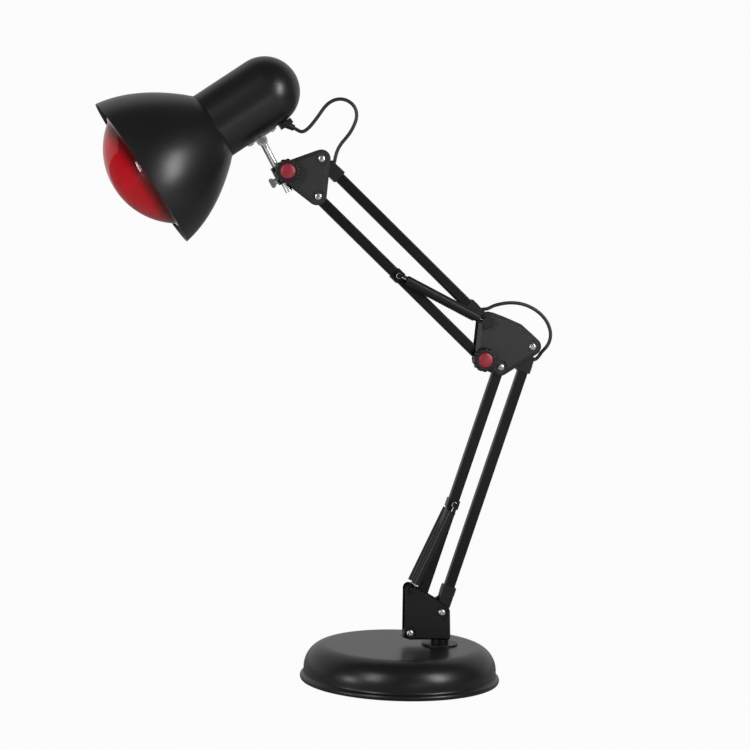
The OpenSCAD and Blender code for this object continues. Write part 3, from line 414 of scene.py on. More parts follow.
# How far in front of the shade's mouth the painted shade on the face glass begins, and the run
# over which it deepens.
GLASS_SHADE_DEPTH, GLASS_SHADE_BLUR = 11 * MM, 8 * MM


def darker(colour, share):
    """A share of a colour."""
    return tuple(c * share for c in tuple(colour)[:3])


def painted(name, colour, rough, grain=0.35, depth=0.00002, spread=0.06, edge=0.3, shine=0.5,
            low=None):
    """Sprayed paint: a fine orange-peel skin, faint patches of tone and of gloss. A low
    colour, when given, is painted on all that lies below LOW_PARTS, so those parts are darker."""
    f = Finish(name)
    peel = f.noise(grain * MM, 2.0, 0.55)
    patch = f.noise(9 * MM, 3.0, 0.6)
    tone = f.blend(patch, darker(colour, 0.86), colour)
    if low is not None:
        tone = f.blend(f.below(LOW_PARTS, LOW_BLUR), tone, low)
    return f.surface(
        Base_Color=tone, Specular_IOR_Level=shine,
        Roughness=(patch - 0.5) * spread + rough + (peel - 0.5) * 0.04,
        Normal=f.bump(peel, depth, edge * MM))


def metal(name, colour, rough, brush=0.25, depth=0.000006, edge=0.25, dark_pin=None):
    """Plated or turned metal: fine scratches in the gloss over a clean metal colour. Round the
    pin at dark_pin, in mm, the colour is painted near black."""
    f = Finish(name)
    fine = f.noise(brush * MM, 3.0, 0.6)
    cloud = f.noise(5 * MM, 2.0, 0.5)
    tone = f.blend(cloud, darker(colour, 0.9), colour)
    # The colour is painted near black within PIN_R of the pin.
    if dark_pin is not None:
        tone = f.blend(f.column(dark_pin[0] * MM, dark_pin[1] * MM, PIN_R), tone, PIN_BLACK)
    return f.surface(
        Base_Color=tone, Metallic=1.0,
        Roughness=(cloud - 0.5) * 0.08 + rough + (fine - 0.5) * 0.05,
        Normal=f.bump(fine, depth, edge * MM))


def moulded(name, colour, rough, grain=0.25, depth=0.00001, edge=0.3, shine=0.5):
    """Moulded plastic: a faint spark texture and soft flow marks."""
    f = Finish(name)
    spark = f.noise(grain * MM, 1.0, 0.5)
    flow = f.noise(7 * MM, 2.0, 0.5)
    return f.surface(
        Base_Color=f.blend(flow, darker(colour, 0.9), colour),
        Roughness=(flow - 0.5) * 0.06 + rough, Specular_IOR_Level=shine,
        Normal=f.bump(spark, depth, edge * MM))


def tinted_glass(name, colour, glow):
    """Part-clear face glass, its tone drifting a little with the stain, painted shade towards
    the rim for the unlit inside of the bulb, its surface faintly wavy as blown glass is."""
    f = Finish(name)
    cloud = f.noise(20 * MM, 2.0, 0.5)
    fine = f.noise(1.2 * MM, 2.0, 0.5)
    deep = darker(colour, glow)
    c, s = pol(1, LAMP_A)
    x, z = f.coordinate(0) - MOUTH[0] * MM, f.coordinate(2) - MOUTH[1] * MM
    # Painted shade: near the mouth the glass colour goes to a fifth of its deep tone, for the
    # unlit inside of the bulb.
    rim = ((x * c + z * s + GLASS_SHADE_DEPTH) / GLASS_SHADE_BLUR).clamp()
    return f.surface(
        Base_Color=f.blend(rim, f.blend(cloud, deep, colour), darker(deep, 0.2)),
        Roughness=0.03 + 0.03 * fine, Specular_IOR_Level=0.3,
        Transmission_Weight=0.4, IOR=1.48, Normal=f.bump(cloud, 0.00004))


def finish_of(scene, name):
    """A finish of the lamp by its slot name, made the first time it is asked for."""
    made = bpy.data.materials.get(f"lamp_{name}")
    if made:
        return made
    p = scene.lamp_finish
    maker, values, more = {
        "black_enamel": (painted, (p.enamel, 0.33, 0.8, 0.00001, 0.04),
                         {"edge": 0, "shine": 0.42}),
        "black_paint": (painted, (p.paint, 0.36), {"shine": 0.25}),
        "shade_paint": (painted, (p.shade, 0.34, 0.45, 0.00001), {"edge": 0}),
        # The plate paint is painted darker on the plates below LOW_PARTS.
        "plate_paint": (painted, (p.plate, 0.45, 0.4, 0.00002),
                        {"low": darker(p.plate, 0.12), "shine": 0.35}),
        "cast_iron": (painted, ((0.09, 0.088, 0.085), 0.7, 0.9, 0.0002), {}),
        "zinc_steel": (metal, ((0.62, 0.62, 0.63), 0.32), {}),
        "chrome": (metal, ((0.62, 0.62, 0.63), 0.3), {"dark_pin": S}),
        "satin_chrome": (metal, ((0.95, 0.95, 0.96), 0.34), {}),
        "brass": (metal, ((0.72, 0.52, 0.22), 0.3), {}),
        "black_plastic": (moulded, (p.plastic, 0.42), {"shine": 0.35}),
        "gloss_black": (moulded, (p.plastic, 0.2, 0.5, 0.000004), {}),
        "red_plastic": (moulded, (p.cap_red, 0.38), {}),
        "cord_pvc": (moulded, (p.cord, 0.4, 0.3, 0.000006, 0), {}),
        "foam_pad": (moulded, ((0.03, 0.03, 0.032), 0.85, 0.8, 0.0003), {}),
        "porcelain": (moulded, ((0.78, 0.76, 0.7), 0.3), {}),
        "silver_glass": (metal, ((0.8, 0.8, 0.82), 0.2, 2.0, 0.00002, 0), {}),
        "red_glass": (tinted_glass, (p.glass, 0.75), {})}[name]
    return maker(f"lamp_{name}", *values, **more)


def dress(scene, *nodes, finish=None):
    """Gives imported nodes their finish, by the record's own slots or by one name."""
    slots = {s["node"]: s["material_slot"] for s in frame["record"]["subparts"]}
    for node in nodes:
        mesh = frame["nodes"][node].data
        mesh.materials.clear()
        mesh.materials.append(finish_of(scene, finish or slots[node]))


def wear(scene, piece, finish):
    """Gives a new piece a finish."""
    piece.data.materials.clear()
    piece.data.materials.append(finish_of(scene, finish))
    return piece


# ---------- settings ----------
class LampFinish(bpy.types.PropertyGroup):
    """Colours of the lamp, linear."""
    enamel: FloatVectorProperty(
        name="Base enamel", description="Gloss enamel of the round base", subtype="COLOR",
        default=(0.005, 0.005, 0.0056), min=0, max=1)
    paint: FloatVectorProperty(
        name="Bar paint", description="Satin paint of the square bars", subtype="COLOR",
        default=(0.003, 0.003, 0.0034), min=0, max=1)
    shade: FloatVectorProperty(
        name="Shade paint", description="Satin paint of the shade and housing", subtype="COLOR",
        default=(0.006, 0.006, 0.0068), min=0, max=1)
    plate: FloatVectorProperty(
        name="Plate paint", description="Paint of the pressed plates", subtype="COLOR",
        default=(0.024, 0.0235, 0.024), min=0, max=1)
    plastic: FloatVectorProperty(
        name="Black plastic", description="Knobs, caps and gland", subtype="COLOR",
        default=(0.006, 0.006, 0.0065), min=0, max=1)
    cap_red: FloatVectorProperty(
        name="Knob cap red", description="Caps of the two knobs", subtype="COLOR",
        default=(0.28, 0.014, 0.026), min=0, max=1)
    glass: FloatVectorProperty(
        name="Face glass red", description="Stained glass of the bulb face", subtype="COLOR",
        default=(0.8, 0.0, 0.012), min=0, max=1)
    cord: FloatVectorProperty(
        name="Cord black", description="Sheath of the cord", subtype="COLOR",
        default=(0.012, 0.012, 0.013), min=0, max=1)


class LampCord(bpy.types.PropertyGroup):
    """Sizes of the cord."""
    width: FloatProperty(
        name="Cord diameter", description="Diameter of the round cord", subtype="DISTANCE",
        default=CORD_SIZE * MM, min=3.2 * MM, max=3.6 * MM)
    sides: IntProperty(
        name="Sides", description="Facets round the cord", default=20, min=12, max=32)


class LampStudio(bpy.types.PropertyGroup):
    """Light of the studio."""
    surround: FloatProperty(
        name="Surround", description="Strength of the room's light on the lamp", default=0.12,
        min=0, max=2)
    floor_white: FloatProperty(
        name="Floor white", description="How far the floor is evened out to white", default=0.96,
        min=0, max=1)
    paper_light: FloatProperty(
        name="Backdrop light", description="Light that the backdrop gives the lamp", default=0.6,
        min=0, max=2)
    paper_white: FloatProperty(
        name="Backdrop white", description="Tone of the backdrop behind the floor", default=0.97,
        min=0, max=1)
    key: FloatProperty(
        name="Key light", description="Power of the right softbox, the other lights follow it",
        subtype="POWER",
        default=14.0, min=0, max=200)


# ---------- camera and cords ----------
def view_axes(az, el, roll):
    """Right, up and backward axes of a camera at an azimuth, elevation and roll in degrees."""
    az, el, roll = (math.radians(q) for q in (az, el, roll))
    back = np.array([math.sin(az) * math.cos(el), -math.cos(az) * math.cos(el), math.sin(el)])
    right = np.array([math.cos(az), math.sin(az), 0.0])
    up = np.cross(back, right)
    return (math.cos(roll) * right + math.sin(roll) * up,
            -math.sin(roll) * right + math.cos(roll) * up, back)


VIEW_AZ, VIEW_EL, VIEW_ROLL = -9.0, 4.113, 1.577
VIEW_AIM, VIEW_DISTANCE = np.array([-32.4, 5.1, 306.0]) * MM, 2.06
FOCAL_PIXELS, PHOTO_PIXELS, SENSOR_MM = 2072.891, 750.0, 36.0


class LAMP_OT_camera(bpy.types.Operator):
    """Camera at the photograph's viewing angle"""
    bl_idname = "lamp.camera"
    bl_label = "Camera"

    def execute(self, context):
        right, up, back = view_axes(VIEW_AZ, VIEW_EL, VIEW_ROLL)
        data = bpy.data.cameras.new("photo_view")
        data.sensor_width = SENSOR_MM
        data.lens = FOCAL_PIXELS * SENSOR_MM / PHOTO_PIXELS
        data.clip_start, data.clip_end = 0.1, 30.0
        camera = bpy.data.objects.new("photo_view", data)
        camera.matrix_world = facing(right, up, back, VIEW_AIM + VIEW_DISTANCE * back)
        context.scene.collection.objects.link(camera)
        context.scene.camera = camera
        return {"FINISHED"}


PATH_STEP = 1.2 * MM
HEAD_CUTS = (0, 0.355, 0.569, 0.782)
HEAD_END = D2 - pol(12, UPPER_A)
HEAD_LOOP = flat(np.concatenate([
    [GLAND_TIP + pol(q, GLAND_A) for q in (2.5, 7, 11.5)],
    D2 + np.array([[-19.5, 25.8], [-14, 28.5], [-8.5, 34.6], [-2.5, 43], [4, 52], [10.6, 57],
                   [19.2, 58.8], [27, 56.4], [32.8, 50.3], [34.4, 42.8], [31.8, 33.2],
                   [26.3, 23.5], [19, 14]]),
    [HEAD_END + 9.4 * TOP_SIDE + pol(1.5, UPPER_A), HEAD_END + 6.8 * TOP_SIDE,
     HEAD_END + 2.6 * TOP_SIDE]]))
ELBOW_START = C2 + pol(12, UPPER_A)
ELBOW_END = B2 - pol(12, LOWER_A)
ELBOW_LOOP = flat(np.concatenate([
    [ELBOW_START + 2.6 * TOP_SIDE, ELBOW_START + 5.4 * TOP_SIDE + [0.4, 0]],
    C2 + np.array([[1.2, 13.2], [6, 15.4], [13.5, 18], [23.5, 19.6], [37.2, 18.6], [50.8, 13],
                   [60.2, 5], [66, -5.4], [67, -14], [63.6, -23.2], [58.2, -29.6]]),
    [ELBOW_END - 7.6 * LOW_SIDE + [0, 0.4], ELBOW_END - 5 * LOW_SIDE,
     ELBOW_END - 2.6 * LOW_SIDE]]))
BRACKET_START = A2 + pol(13.4, LOWER_A)
BRACKET_RUN = flat(np.concatenate([
    [BRACKET_START + 2.6 * LOW_SIDE, BRACKET_START + 5.4 * LOW_SIDE],
    A2 + np.array([[-7.2, 9.4], [-7.3, 3], [-7.2, -3.6], [-5.8, -10], [-2.8, -15.2],
                   [-0.4, -20], [0, -24.5]]),
    [[40, 35], [40, 30.4]]]))


def loop_piece(context, name, path, node):
    """One stretch of cord that bends between two bodies."""
    cord = context.scene.lamp_cord
    piece = tube_piece(name, path, cord.width / 2, cord.sides)
    wear(context.scene, piece, "cord_pvc")
    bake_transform(piece)
    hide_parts(node)


class LAMP_OT_arm_cords(bpy.types.Operator):
    """Cord loops over the head joint, the elbow and the base bracket, and the runs in the bars"""
    bl_idname = "lamp.arm_cords"
    bl_label = "Arm cords"

    def execute(self, context):
        scene, cord = context.scene, context.scene.lamp_cord
        path = smooth_path(HEAD_LOOP, PATH_STEP)
        cut = [int(round(len(path) * q)) for q in HEAD_CUTS] + [len(path) - 1]
        for i in range(len(HEAD_CUTS)):
            part = path[cut[i]:cut[i + 1] + 1]
            loop_piece(context, f"head_loop_{i + 1}", part, "head_cord")
        path = smooth_path(ELBOW_LOOP, PATH_STEP)
        half = len(path) // 2
        loop_piece(context, "elbow_loop_1", path[:half + 1],
                   "elbow_cord")
        loop_piece(context, "elbow_loop_2", path[half:],
                   "elbow_cord")
        path = smooth_path(BRACKET_RUN, PATH_STEP)
        loop_piece(context, "bracket_loop", path, "bracket_cord")
        off = BAR_SIDE / 2 - BAR_WALL - CORD_SIZE / 2 - 0.2
        for name, body, a, b, side in (
                ("upper_bar_run", "upper_top_arm", ELBOW_START, HEAD_END, -off * TOP_SIDE),
                ("lower_bar_run", "lower_rear_arm", ELBOW_END, BRACKET_START,
                 -0.2 * off * LOW_SIDE)):
            along = (b - a) / np.linalg.norm(b - a)
            ends = flat([a + side + 2.5 * along, b + side - 2.5 * along])
            run = tube_piece(name, even_path(ends, 6 * MM), cord.width / 2, cord.sides)
            wear(scene, run, "cord_pvc")
            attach(run, body)
            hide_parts(name.replace("run", "cord"))
        return {"FINISHED"}


COIL_IN, COIL_PITCH, COIL_TURNS = 13.5, 3.95, 3.625
COIL_OUT = COIL_IN + COIL_PITCH * COIL_TURNS
COIL_U, COIL_V = 39.0, 127 + COIL_OUT
LEAD_BEND = 14
LAY = 1.85
PLUG_V = COIL_V - 3.5 - 1.5 - LEAD_BEND
OUTLET_A = 125 + TAIL_A


def wall_ray(radius, z):
    """Points behind the base on the line of the cord outlet, in metres."""
    radius, z = np.asarray(radius, float), np.asarray(z, float)
    a = math.radians(OUTLET_A)
    return np.stack([radius * math.cos(a), radius * math.sin(a), z], -1) * MM


def lead_out():
    """From the base wall round to the in-line switch."""
    t = np.arange(0, 126, 12.5)
    a = np.radians(215 - t)
    return np.concatenate([
        wall_ray([98.3, 102, 106], [10.95, 10.9, 10.8]),
        tail_uv(-51.3 + LEAD_BEND * np.cos(a), 98 + LEAD_BEND * np.sin(a),
                10.4 - 2.9 * t / 125),
        tail_uv([-46, -43, -40], 112, 7.5)])


def lead_on():
    """From the switch into the coil, two layers of turns that spiral in and out again, and
    on to the plug. The climb takes the half turn where the spiral reverses."""
    into = tail_uv([7, 10, 11.5, 15.5, 19.4, 22.8, 26.1, 30.5, 34, 35.5],
                   [112, 112, 112.1, 113, 115.4, 119.5, 123.6, 126.4, 127, 127],
                   [7.5, 7.5, 7.5, 7, 6, 4.6, 3, 2.1, LAY, LAY])
    half = 360 * COIL_TURNS
    t = np.arange(0, 2 * half + 180 + 1e-6, 7.5)
    climb = np.clip((t - half) / 180, 0, 1)
    r = np.where(t < half, COIL_OUT - COIL_PITCH * t / 360,
                 np.where(t < half + 180, COIL_IN - 0.7 * np.sin(np.radians(t - half)),
                          COIL_IN + COIL_PITCH * (t - half - 180) / 360))
    a = np.radians(t - 90)
    turns = tail_uv(COIL_U + r * np.cos(a), COIL_V + r * np.sin(a),
                    LAY + COIL_PITCH * climb * climb * (3 - 2 * climb))
    b = np.arange(0, 91, 15.0)
    eu, ev = COIL_U - COIL_OUT, COIL_V - 3.5
    off = tail_uv(eu - LEAD_BEND + LEAD_BEND * np.cos(np.radians(b)),
                  ev - 1.5 - LEAD_BEND * np.sin(np.radians(b)),
                  LAY + COIL_PITCH + (7 - LAY - COIL_PITCH) * b / 90)
    end = tail_uv([eu - 15.5, -10.5, -14], PLUG_V, 7)
    return np.concatenate([into, turns[1:], off, end])


def boot_radius(run, length, thick, thin):
    """Taper from thick to thin along a strain relief, cut by even grooves near its tip."""
    t = run / length
    ribs = 0.22 * MM * (np.cos(run / (2.6 * MM) * 2 * math.pi) < -0.2) * (t > 0.2) * (t < 0.9)
    return thick + (thin - thick) * t - ribs


class LAMP_OT_mains_lead(bpy.types.Operator):
    """Mains lead behind the base: outlet boot, the lead to the switch and the coiled lead to the
    plug
    """
    bl_idname = "lamp.mains_lead"
    bl_label = "Mains lead"

    def execute(self, context):
        scene, cord = context.scene, context.scene.lamp_cord
        nodes = frame["nodes"]
        first = smooth_path(lead_out(), PATH_STEP)
        second = smooth_path(lead_on(), 1.4 * MM)
        up = (0.02, 0.03, 1.0)
        boot_len, boot_step = 24 * MM, 0.35 * MM
        run = even_path(first, boot_step)[:int(round(boot_len / boot_step)) + 1]
        along = np.linspace(0, boot_len, len(run))
        boot = tube_piece("outlet_boot", run, boot_radius(along, boot_len, 3.7 * MM, 2.15 * MM),
                          24, up)
        wear(scene, boot, "cord_pvc")
        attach(boot, "base")
        for name, path, pieces, far in (
                ("mains_lead_1", first, [nodes["switch_case"], nodes["switch_rocker"], boot],
                 "fitting"),
                ("mains_lead_2", second, [nodes["plug_body"], nodes["plug_pins"]], "plug")):
            lead = tube_piece(name, path, cord.width / 2, 16, up)
            wear(scene, lead, "cord_pvc")
            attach(lead, "base")
            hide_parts(*(("mains_cord", "cord_coil") if far == "plug" else ("mains_cord",)))
        return {"FINISHED"}


# ---------- base ----------
BASE_R, WALL_R, BASE_H, SHEET = 100.0, 96.5, 36.0, 1.2


def cover_line():
    """Cover shell, [r, z] in mm: inside up to the axis, rolled foot edge, wall, elliptic
    shoulder of 22 by 24 and the flat top."""
    t = np.radians(np.linspace(0, 90, 31))
    wide, high = 22, 24
    r, z = WALL_R - wide, BASE_H - high
    outer = np.stack([r + wide * np.cos(t), z + high * np.sin(t)], 1)
    inner = np.stack([r + (wide - SHEET) * np.cos(t), z + (high - SHEET) * np.sin(t)], 1)
    foot = soften([[WALL_R - SHEET, 8], [WALL_R - SHEET, 0.6], [98, 0.6], [99.4, 1.2],
                   [BASE_R, 2.4], [BASE_R, 4.2], [99.2, 5.6], [WALL_R + 0.9, 6.3],
                   [WALL_R, 7.6], [WALL_R, 10.5]], [0, 0, 0.6, 0.6, 0.8, 0.8, 0.6, 0.6, 1.0, 0])
    top = np.stack([np.linspace(WALL_R - 27, 0, 12), np.full(12, BASE_H)], 1)
    return np.concatenate([[[0, BASE_H - SHEET]], inner[::-1], foot, outer, top])


class LAMP_OT_base(bpy.types.Operator):
    """Round base cover"""
    bl_idname = "lamp.base"
    bl_label = "Base cover"

    def execute(self, context):
        cover = lathe_piece("base_shell", cover_line(), 192)
        wear(context.scene, cover, "black_enamel")
        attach(cover, "base")
        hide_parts("base_cover")
        return {"FINISHED"}


# ---------- lamp head ----------
HEAD = along_axis(MOUTH, LAMP_A)
HOUSING_R, DOME_Z = 34.25, 144.0


def shade_line():
    """Bell of the shade: its radius falls by 40 mm over 78 mm as 0.285 q + 0.715 q squared of
    the way q, a hollow fillet leads into the neck, the rim is rounded, the inside runs 1 mm
    within, and a flange closes it round the socket."""
    q = np.linspace(0, 1, 56)
    bell = np.stack([79 - 40 * (0.285 * q + 0.715 * q * q), 78 * q], 1)
    out = np.concatenate([bell, rounded([35.9, 81], bell[-1], [HOUSING_R + 0.2, 82.9], 2.2, 7),
                          [[HOUSING_R + 0.2, 83]]])
    ahead = np.gradient(bell, axis=0)
    ahead /= np.linalg.norm(ahead, axis=1)[:, None]
    inner = bell - np.stack([ahead[:, 1], -ahead[:, 0]], 1)
    inner = inner[inner[:, 1] > 0.3]
    rim = np.array([[78.95, 0.02], [78.5, 0], [78.05, 0.02]])
    return np.concatenate([[[33.2, 82]], inner[::-1], rim[::-1], out[1:], [[27, 83], [27, 82]]])


def housing_line():
    """Tube with a round dome, 1.5 mm thick, with a softened lower edge."""
    t = np.radians(np.linspace(2, 88, 40))
    r, thin = HOUSING_R, HOUSING_R - 1.5
    out = np.stack([r * np.cos(t), DOME_Z + r * np.sin(t)], 1)
    inn = np.stack([thin * np.cos(t), DOME_Z + thin * np.sin(t)], 1)
    return np.concatenate([[[0, DOME_Z + thin]], inn[::-1],
                           [[thin, DOME_Z], [thin, 83.6], [thin + 0.4, 83.1], [r - 0.4, 83.1],
                            [r, 83.5], [r, 108], [r, DOME_Z]], out, [[0, DOME_Z + r]]])


def face_line(inset):
    """Face of the bulb: a cap of radius 71.5 that turns into the rim at its widest."""
    r = np.linspace(0, 58.5 - inset, 40)
    ball = 71.5 - inset
    cap = np.stack([r, -30 + inset + ball - np.sqrt(ball ** 2 - r ** 2)], 1)
    turn = spline_line([cap[-2], cap[-1], [61.4 - inset, 1.2], [62.35 - inset, 4.4],
                        [62.5 - inset, 7.2], [62.5 - inset, 9]], 16)
    return np.concatenate([cap[:-1], turn[1:]])


BULB_LINE = [[62.5, 9], [61.5, 16], [59.3, 24], [55, 34], [48, 46], [40.5, 58], [32.5, 70],
             [25.5, 80], [21.2, 90], [19, 100], [17.5, 110], [16, 114], [13.2, 117],
             [12.1, 119], [12.1, 125]]


class LAMP_OT_head(bpy.types.Operator):
    """Shade, housing and reflector bulb"""
    bl_idname = "lamp.head"
    bl_label = "Lamp head"

    def execute(self, context):
        scene = context.scene
        body = spline_line(BULB_LINE, 60)
        inside = body - [1.0, 0]
        inside[:, 1] = np.maximum(inside[:, 1], 9)
        glass_in = face_line(1.0)
        for name, line, finish, node in (
                ("shade_bell", shade_line(), "shade_paint", "shade"),
                ("lamp_housing", housing_line(), "shade_paint", "housing"),
                ("bulb_face", np.concatenate([face_line(0.0), glass_in[::-1]]), "red_glass",
                 "bulb_glass"),
                ("bulb_reflector", np.concatenate([body, inside[::-1]]), "silver_glass",
                 "bulb_body")):
            piece = lathe_piece(name, line, 176, HEAD)
            wear(scene, piece, finish)
            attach(piece, "lamp_head")
            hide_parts(node)
        return {"FINISHED"}


# ---------- knobs ----------
KNOB_Y, CAP_Y = -9.0, -19.0


def knob_shell(name, centre, flutes=14, radius=12.0, height=11.5, cap=7.5):
    """Fluted knob: at each height a circle whose radius drops to round notches of 1.9 mm at
    even angles; its face is recessed for the cap."""
    turn = np.linspace(0, 2 * math.pi, flutes * 20, endpoint=False)
    step = 2 * math.pi / flutes
    near = np.abs((turn + step / 2) % step - step / 2)
    far = radius + 0.9
    root = 1.9 ** 2 - (far * np.sin(near)) ** 2
    notch = np.where(root > 0, far * np.cos(near) - np.sqrt(np.maximum(root, 0)), radius)
    wave = np.minimum(notch, radius) - radius
    wave = (np.roll(wave, 1) + 2 * wave + np.roll(wave, -1)) / 4
    rows = np.array([
        [0, 0, 0], [radius - 0.5, 0, 1], [radius - 0.12, 0.15, 1], [radius, 0.5, 1],
        [radius, height - 1.7, 1], [radius - 0.15, height - 1.1, 1],
        [radius - 0.55, height - 0.5, 0.95], [radius - 1.1, height - 0.15, 0.9],
        [radius - 1.7, height, 0.8], [radius - 2.6, height, 0.4], [cap + 0.5, height, 0],
        [cap + 0.25, height - 0.07, 0], [cap + 0.1, height - 0.3, 0],
        [cap + 0.1, height - 1.5, 0], [0, height - 1.5, 0]])
    r = rows[:, 0:1] + rows[:, 2:3] * wave[None, :]
    co = np.stack([r * np.cos(turn), r * np.sin(turn), np.repeat(rows[:, 1:2], len(turn), 1)], -1)
    return shell_piece(name, co * MM, across(*centre, KNOB_Y), sharp=40.0)


def cap_line(radius=7.5):
    """Domed cap with a softened edge."""
    t = np.radians(np.linspace(4, 90, 20))
    dome = np.stack([(radius - 0.25) * np.cos(t), 1.6 + 1.5 * np.sin(t)], 1)
    return np.concatenate([[[0, 0], [radius, 0], [radius, 1.3], [radius - 0.06, 1.5]], dome])


class LAMP_OT_knobs(bpy.types.Operator):
    """Fluted knobs with their red caps"""
    bl_idname = "lamp.knobs"
    bl_label = "Knobs"

    def execute(self, context):
        for tag, centre in (("elbow", C1), ("head", H)):
            knob = knob_shell(f"{tag}_knob_grip", centre)
            wear(context.scene, knob, "black_plastic")
            cap = lathe_piece(f"{tag}_red_cap", cap_line(), 96,
                              across(*centre, CAP_Y))
            wear(context.scene, cap, "red_plastic")
            for piece, node in ((knob, f"{tag}_knob"), (cap, f"{tag}_knob_cap")):
                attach(piece, f"{tag}_knob")
                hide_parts(node)
        return {"FINISHED"}


# ---------- springs ----------
SPRING_Y, WIRE_R = 11.2, 0.6 * MM


def spring_path(eye, start, curls, pitch=1.8, coil=3.0):
    """Centre line of a pull spring in mm, x along it: a hook most of the way round its pin,
    then curls that open from the axis and close on it again."""
    a = np.radians(np.arange(50, 321, 10.0))
    hook = np.stack([eye * np.cos(a), 0 * a, eye * np.sin(a)], 1)
    lead = np.array([[eye + 0.7, 0, -0.5], [eye + 2.0, 0, 0.1]])
    i = np.arange(0, curls * 24 + 1) / 3.0
    w = np.minimum(1, i / 8)
    turn = np.radians(45 * i)
    body = np.stack([start + pitch * i / 8, coil * w * np.sin(turn), coil * w * np.cos(turn)], 1)
    return np.concatenate([hook, lead, body])


class LAMP_OT_springs(bpy.types.Operator):
    """Pull springs of both arms"""
    bl_idname = "lamp.springs"
    bl_label = "Springs"

    def execute(self, context):
        for tag, pin, angle, eye, start, curls in (
                ("lower", S, LOWER_SPRING_A, 2.9, 6.8, 12),
                ("upper", C2, UPPER_SPRING_A, 4.4, 10.5, 6)):
            c, s = pol(1, angle)
            line = spring_path(eye, start, curls)
            for side, y in (("near", -SPRING_Y), ("far", SPRING_Y)):
                x = pin[0] + line[:, 0] * c - line[:, 2] * s
                z = pin[1] + line[:, 0] * s + line[:, 2] * c
                path = np.stack([x, y + line[:, 1], z], 1) * MM
                wire = tube_piece(f"{tag}_spring_{side}", path, WIRE_R, 10,
                                  (0.05 * c - 0.02 * s, 1.0, 0.05 * s + 0.02 * c))
                wear(context.scene, wire, "chrome")
                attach(wire, f"{tag}_spring")
                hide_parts(f"{tag}_springs")
        return {"FINISHED"}


# ---------- studio and finishes ----------
ROOM_HALF, BACKDROP_Y, BACKDROP_TOP = 9, 2.6, 6
LIGHT_AIM = np.array([-0.03, 0, 0.35])


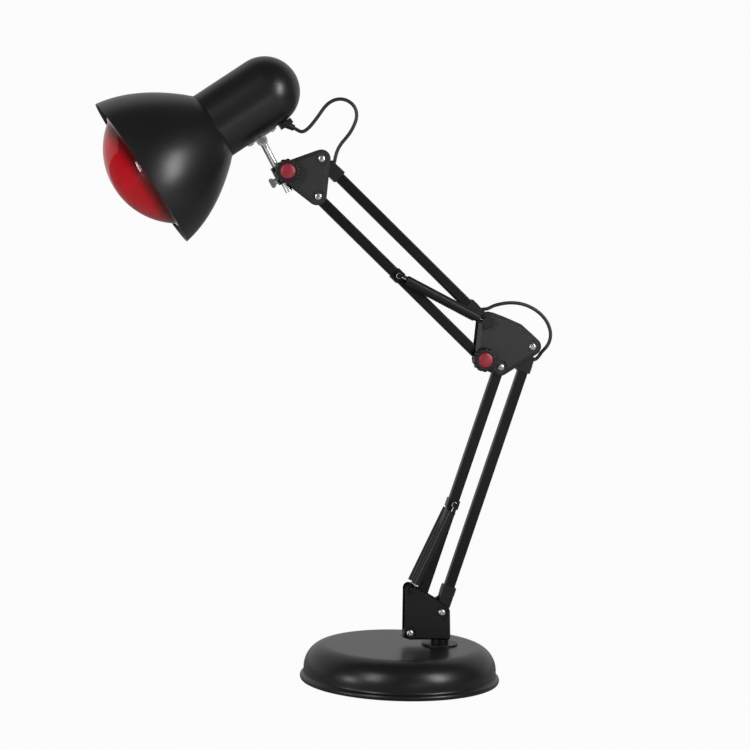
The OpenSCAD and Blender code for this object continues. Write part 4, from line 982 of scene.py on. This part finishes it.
class LAMP_OT_stage(bpy.types.Operator):
    """Pale floor, white surround and soft lights"""
    bl_idname = "lamp.stage"
    bl_label = "Studio"

    def execute(self, context):
        scene, studio = context.scene, context.scene.lamp_studio
        scene.view_settings.view_transform = "Standard"
        world = bpy.data.worlds.new("surround")
        world.use_nodes = True
        tree = world.node_tree
        tree.nodes.clear()
        seen = camera_ray(tree)
        bare = tree.nodes.new("ShaderNodeBackground")
        tree.links.new((studio.surround + (1.0 - studio.surround) * seen).out,
                       bare.inputs["Strength"])
        out = tree.nodes.new("ShaderNodeOutputWorld")
        tree.links.new(bare.outputs[0], out.inputs["Surface"])
        bare.inputs["Color"].default_value = (1, 1, 1, 1)
        scene.world = world
        ground, card = Finish("studio_floor"), Finish("studio_paper")
        ground.seen_as(ground.add("ShaderNodeBsdfDiffuse", Color=(0.5, 0.5, 0.5, 1)),
                       ground.add("ShaderNodeEmission", Strength=1.0), studio.floor_white)
        card.seen_as(card.add("ShaderNodeEmission", Strength=studio.paper_light),
                     card.add("ShaderNodeEmission", Strength=studio.paper_white))
        w, y, top = ROOM_HALF, BACKDROP_Y, BACKDROP_TOP
        floor = mesh_piece("studio_floor", [[-w, -w, 0], [w, -w, 0], [w, w, 0], [-w, w, 0]],
                           [[0, 1, 2, 3]])
        paper = mesh_piece("studio_paper", [[-w, y, 0], [w, y, 0], [w, y, top], [-w, y, top]],
                           [[0, 1, 2, 3]])
        floor.data.materials.append(ground.material)
        paper.data.materials.append(card.material)
        for name, place, width, height, power in (
                ("right_softbox", (0.95, -1.15, 0.8), 0.26, 0.8, studio.key),
                ("left_softbox", (-1.0, -1.1, 0.8), 0.24, 0.8, studio.key * 0.6),
                ("low_card", (0.26, -1.3, 0.14), 0.3, 0.16, studio.key * 0.03),
                ("glint_card", (-1.02, -0.42, 0.16), 0.12, 0.26, studio.key * 0.15)):
            light = bpy.data.lights.new(name, "AREA")
            light.shape, light.energy = "RECTANGLE", power
            light.size, light.size_y = width, height
            lamp = bpy.data.objects.new(name, light)
            back = np.array(place) - LIGHT_AIM
            back /= np.linalg.norm(back)
            right = np.cross([0, 0, 1], back)
            right /= np.linalg.norm(right)
            lamp.matrix_world = facing(right, np.cross(back, right), back, place)
            scene.collection.objects.link(lamp)
        return {"FINISHED"}


class LAMP_OT_dress(bpy.types.Operator):
    """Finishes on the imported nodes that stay"""
    bl_idname = "lamp.dress"
    bl_label = "Finishes"

    def execute(self, context):
        dress(context.scene, *frame["nodes"])
        dress(context.scene, "stem_rod", "knuckle_bracket", finish="satin_chrome")
        return {"FINISHED"}


# ---------- panel and running ----------
STEPS = (LAMP_OT_camera, LAMP_OT_arm_cords, LAMP_OT_mains_lead, LAMP_OT_base, LAMP_OT_head,
         LAMP_OT_knobs, LAMP_OT_springs, LAMP_OT_dress, LAMP_OT_stage)
GROUPS = (LampFinish, LampCord, LampStudio)


class LAMP_PT_looks(bpy.types.Panel):
    """Lists the settings and every piece's button"""
    bl_idname = "LAMP_PT_looks"
    bl_label = "Heat lamp"
    bl_space_type = "VIEW_3D"
    bl_region_type = "UI"
    bl_category = "Heat lamp"

    def draw(self, context):
        for group in (context.scene.lamp_finish, context.scene.lamp_cord,
                      context.scene.lamp_studio):
            for key in group.__annotations__:
                self.layout.prop(group, key)
        for step in STEPS:
            self.layout.operator(step.bl_idname)


def register():
    for kind in GROUPS + STEPS + (LAMP_PT_looks,):
        bpy.utils.register_class(kind)
    bpy.types.Scene.lamp_finish = PointerProperty(type=LampFinish)
    bpy.types.Scene.lamp_cord = PointerProperty(type=LampCord)
    bpy.types.Scene.lamp_studio = PointerProperty(type=LampStudio)


def unregister():
    del bpy.types.Scene.lamp_studio, bpy.types.Scene.lamp_cord, bpy.types.Scene.lamp_finish
    for kind in reversed(GROUPS + STEPS + (LAMP_PT_looks,)):
        bpy.utils.unregister_class(kind)


def main():
    register()
    for step in STEPS:
        group, name = step.bl_idname.split(".")
        getattr(getattr(bpy.ops, group), name)()


if __name__ == "__main__":
    main()
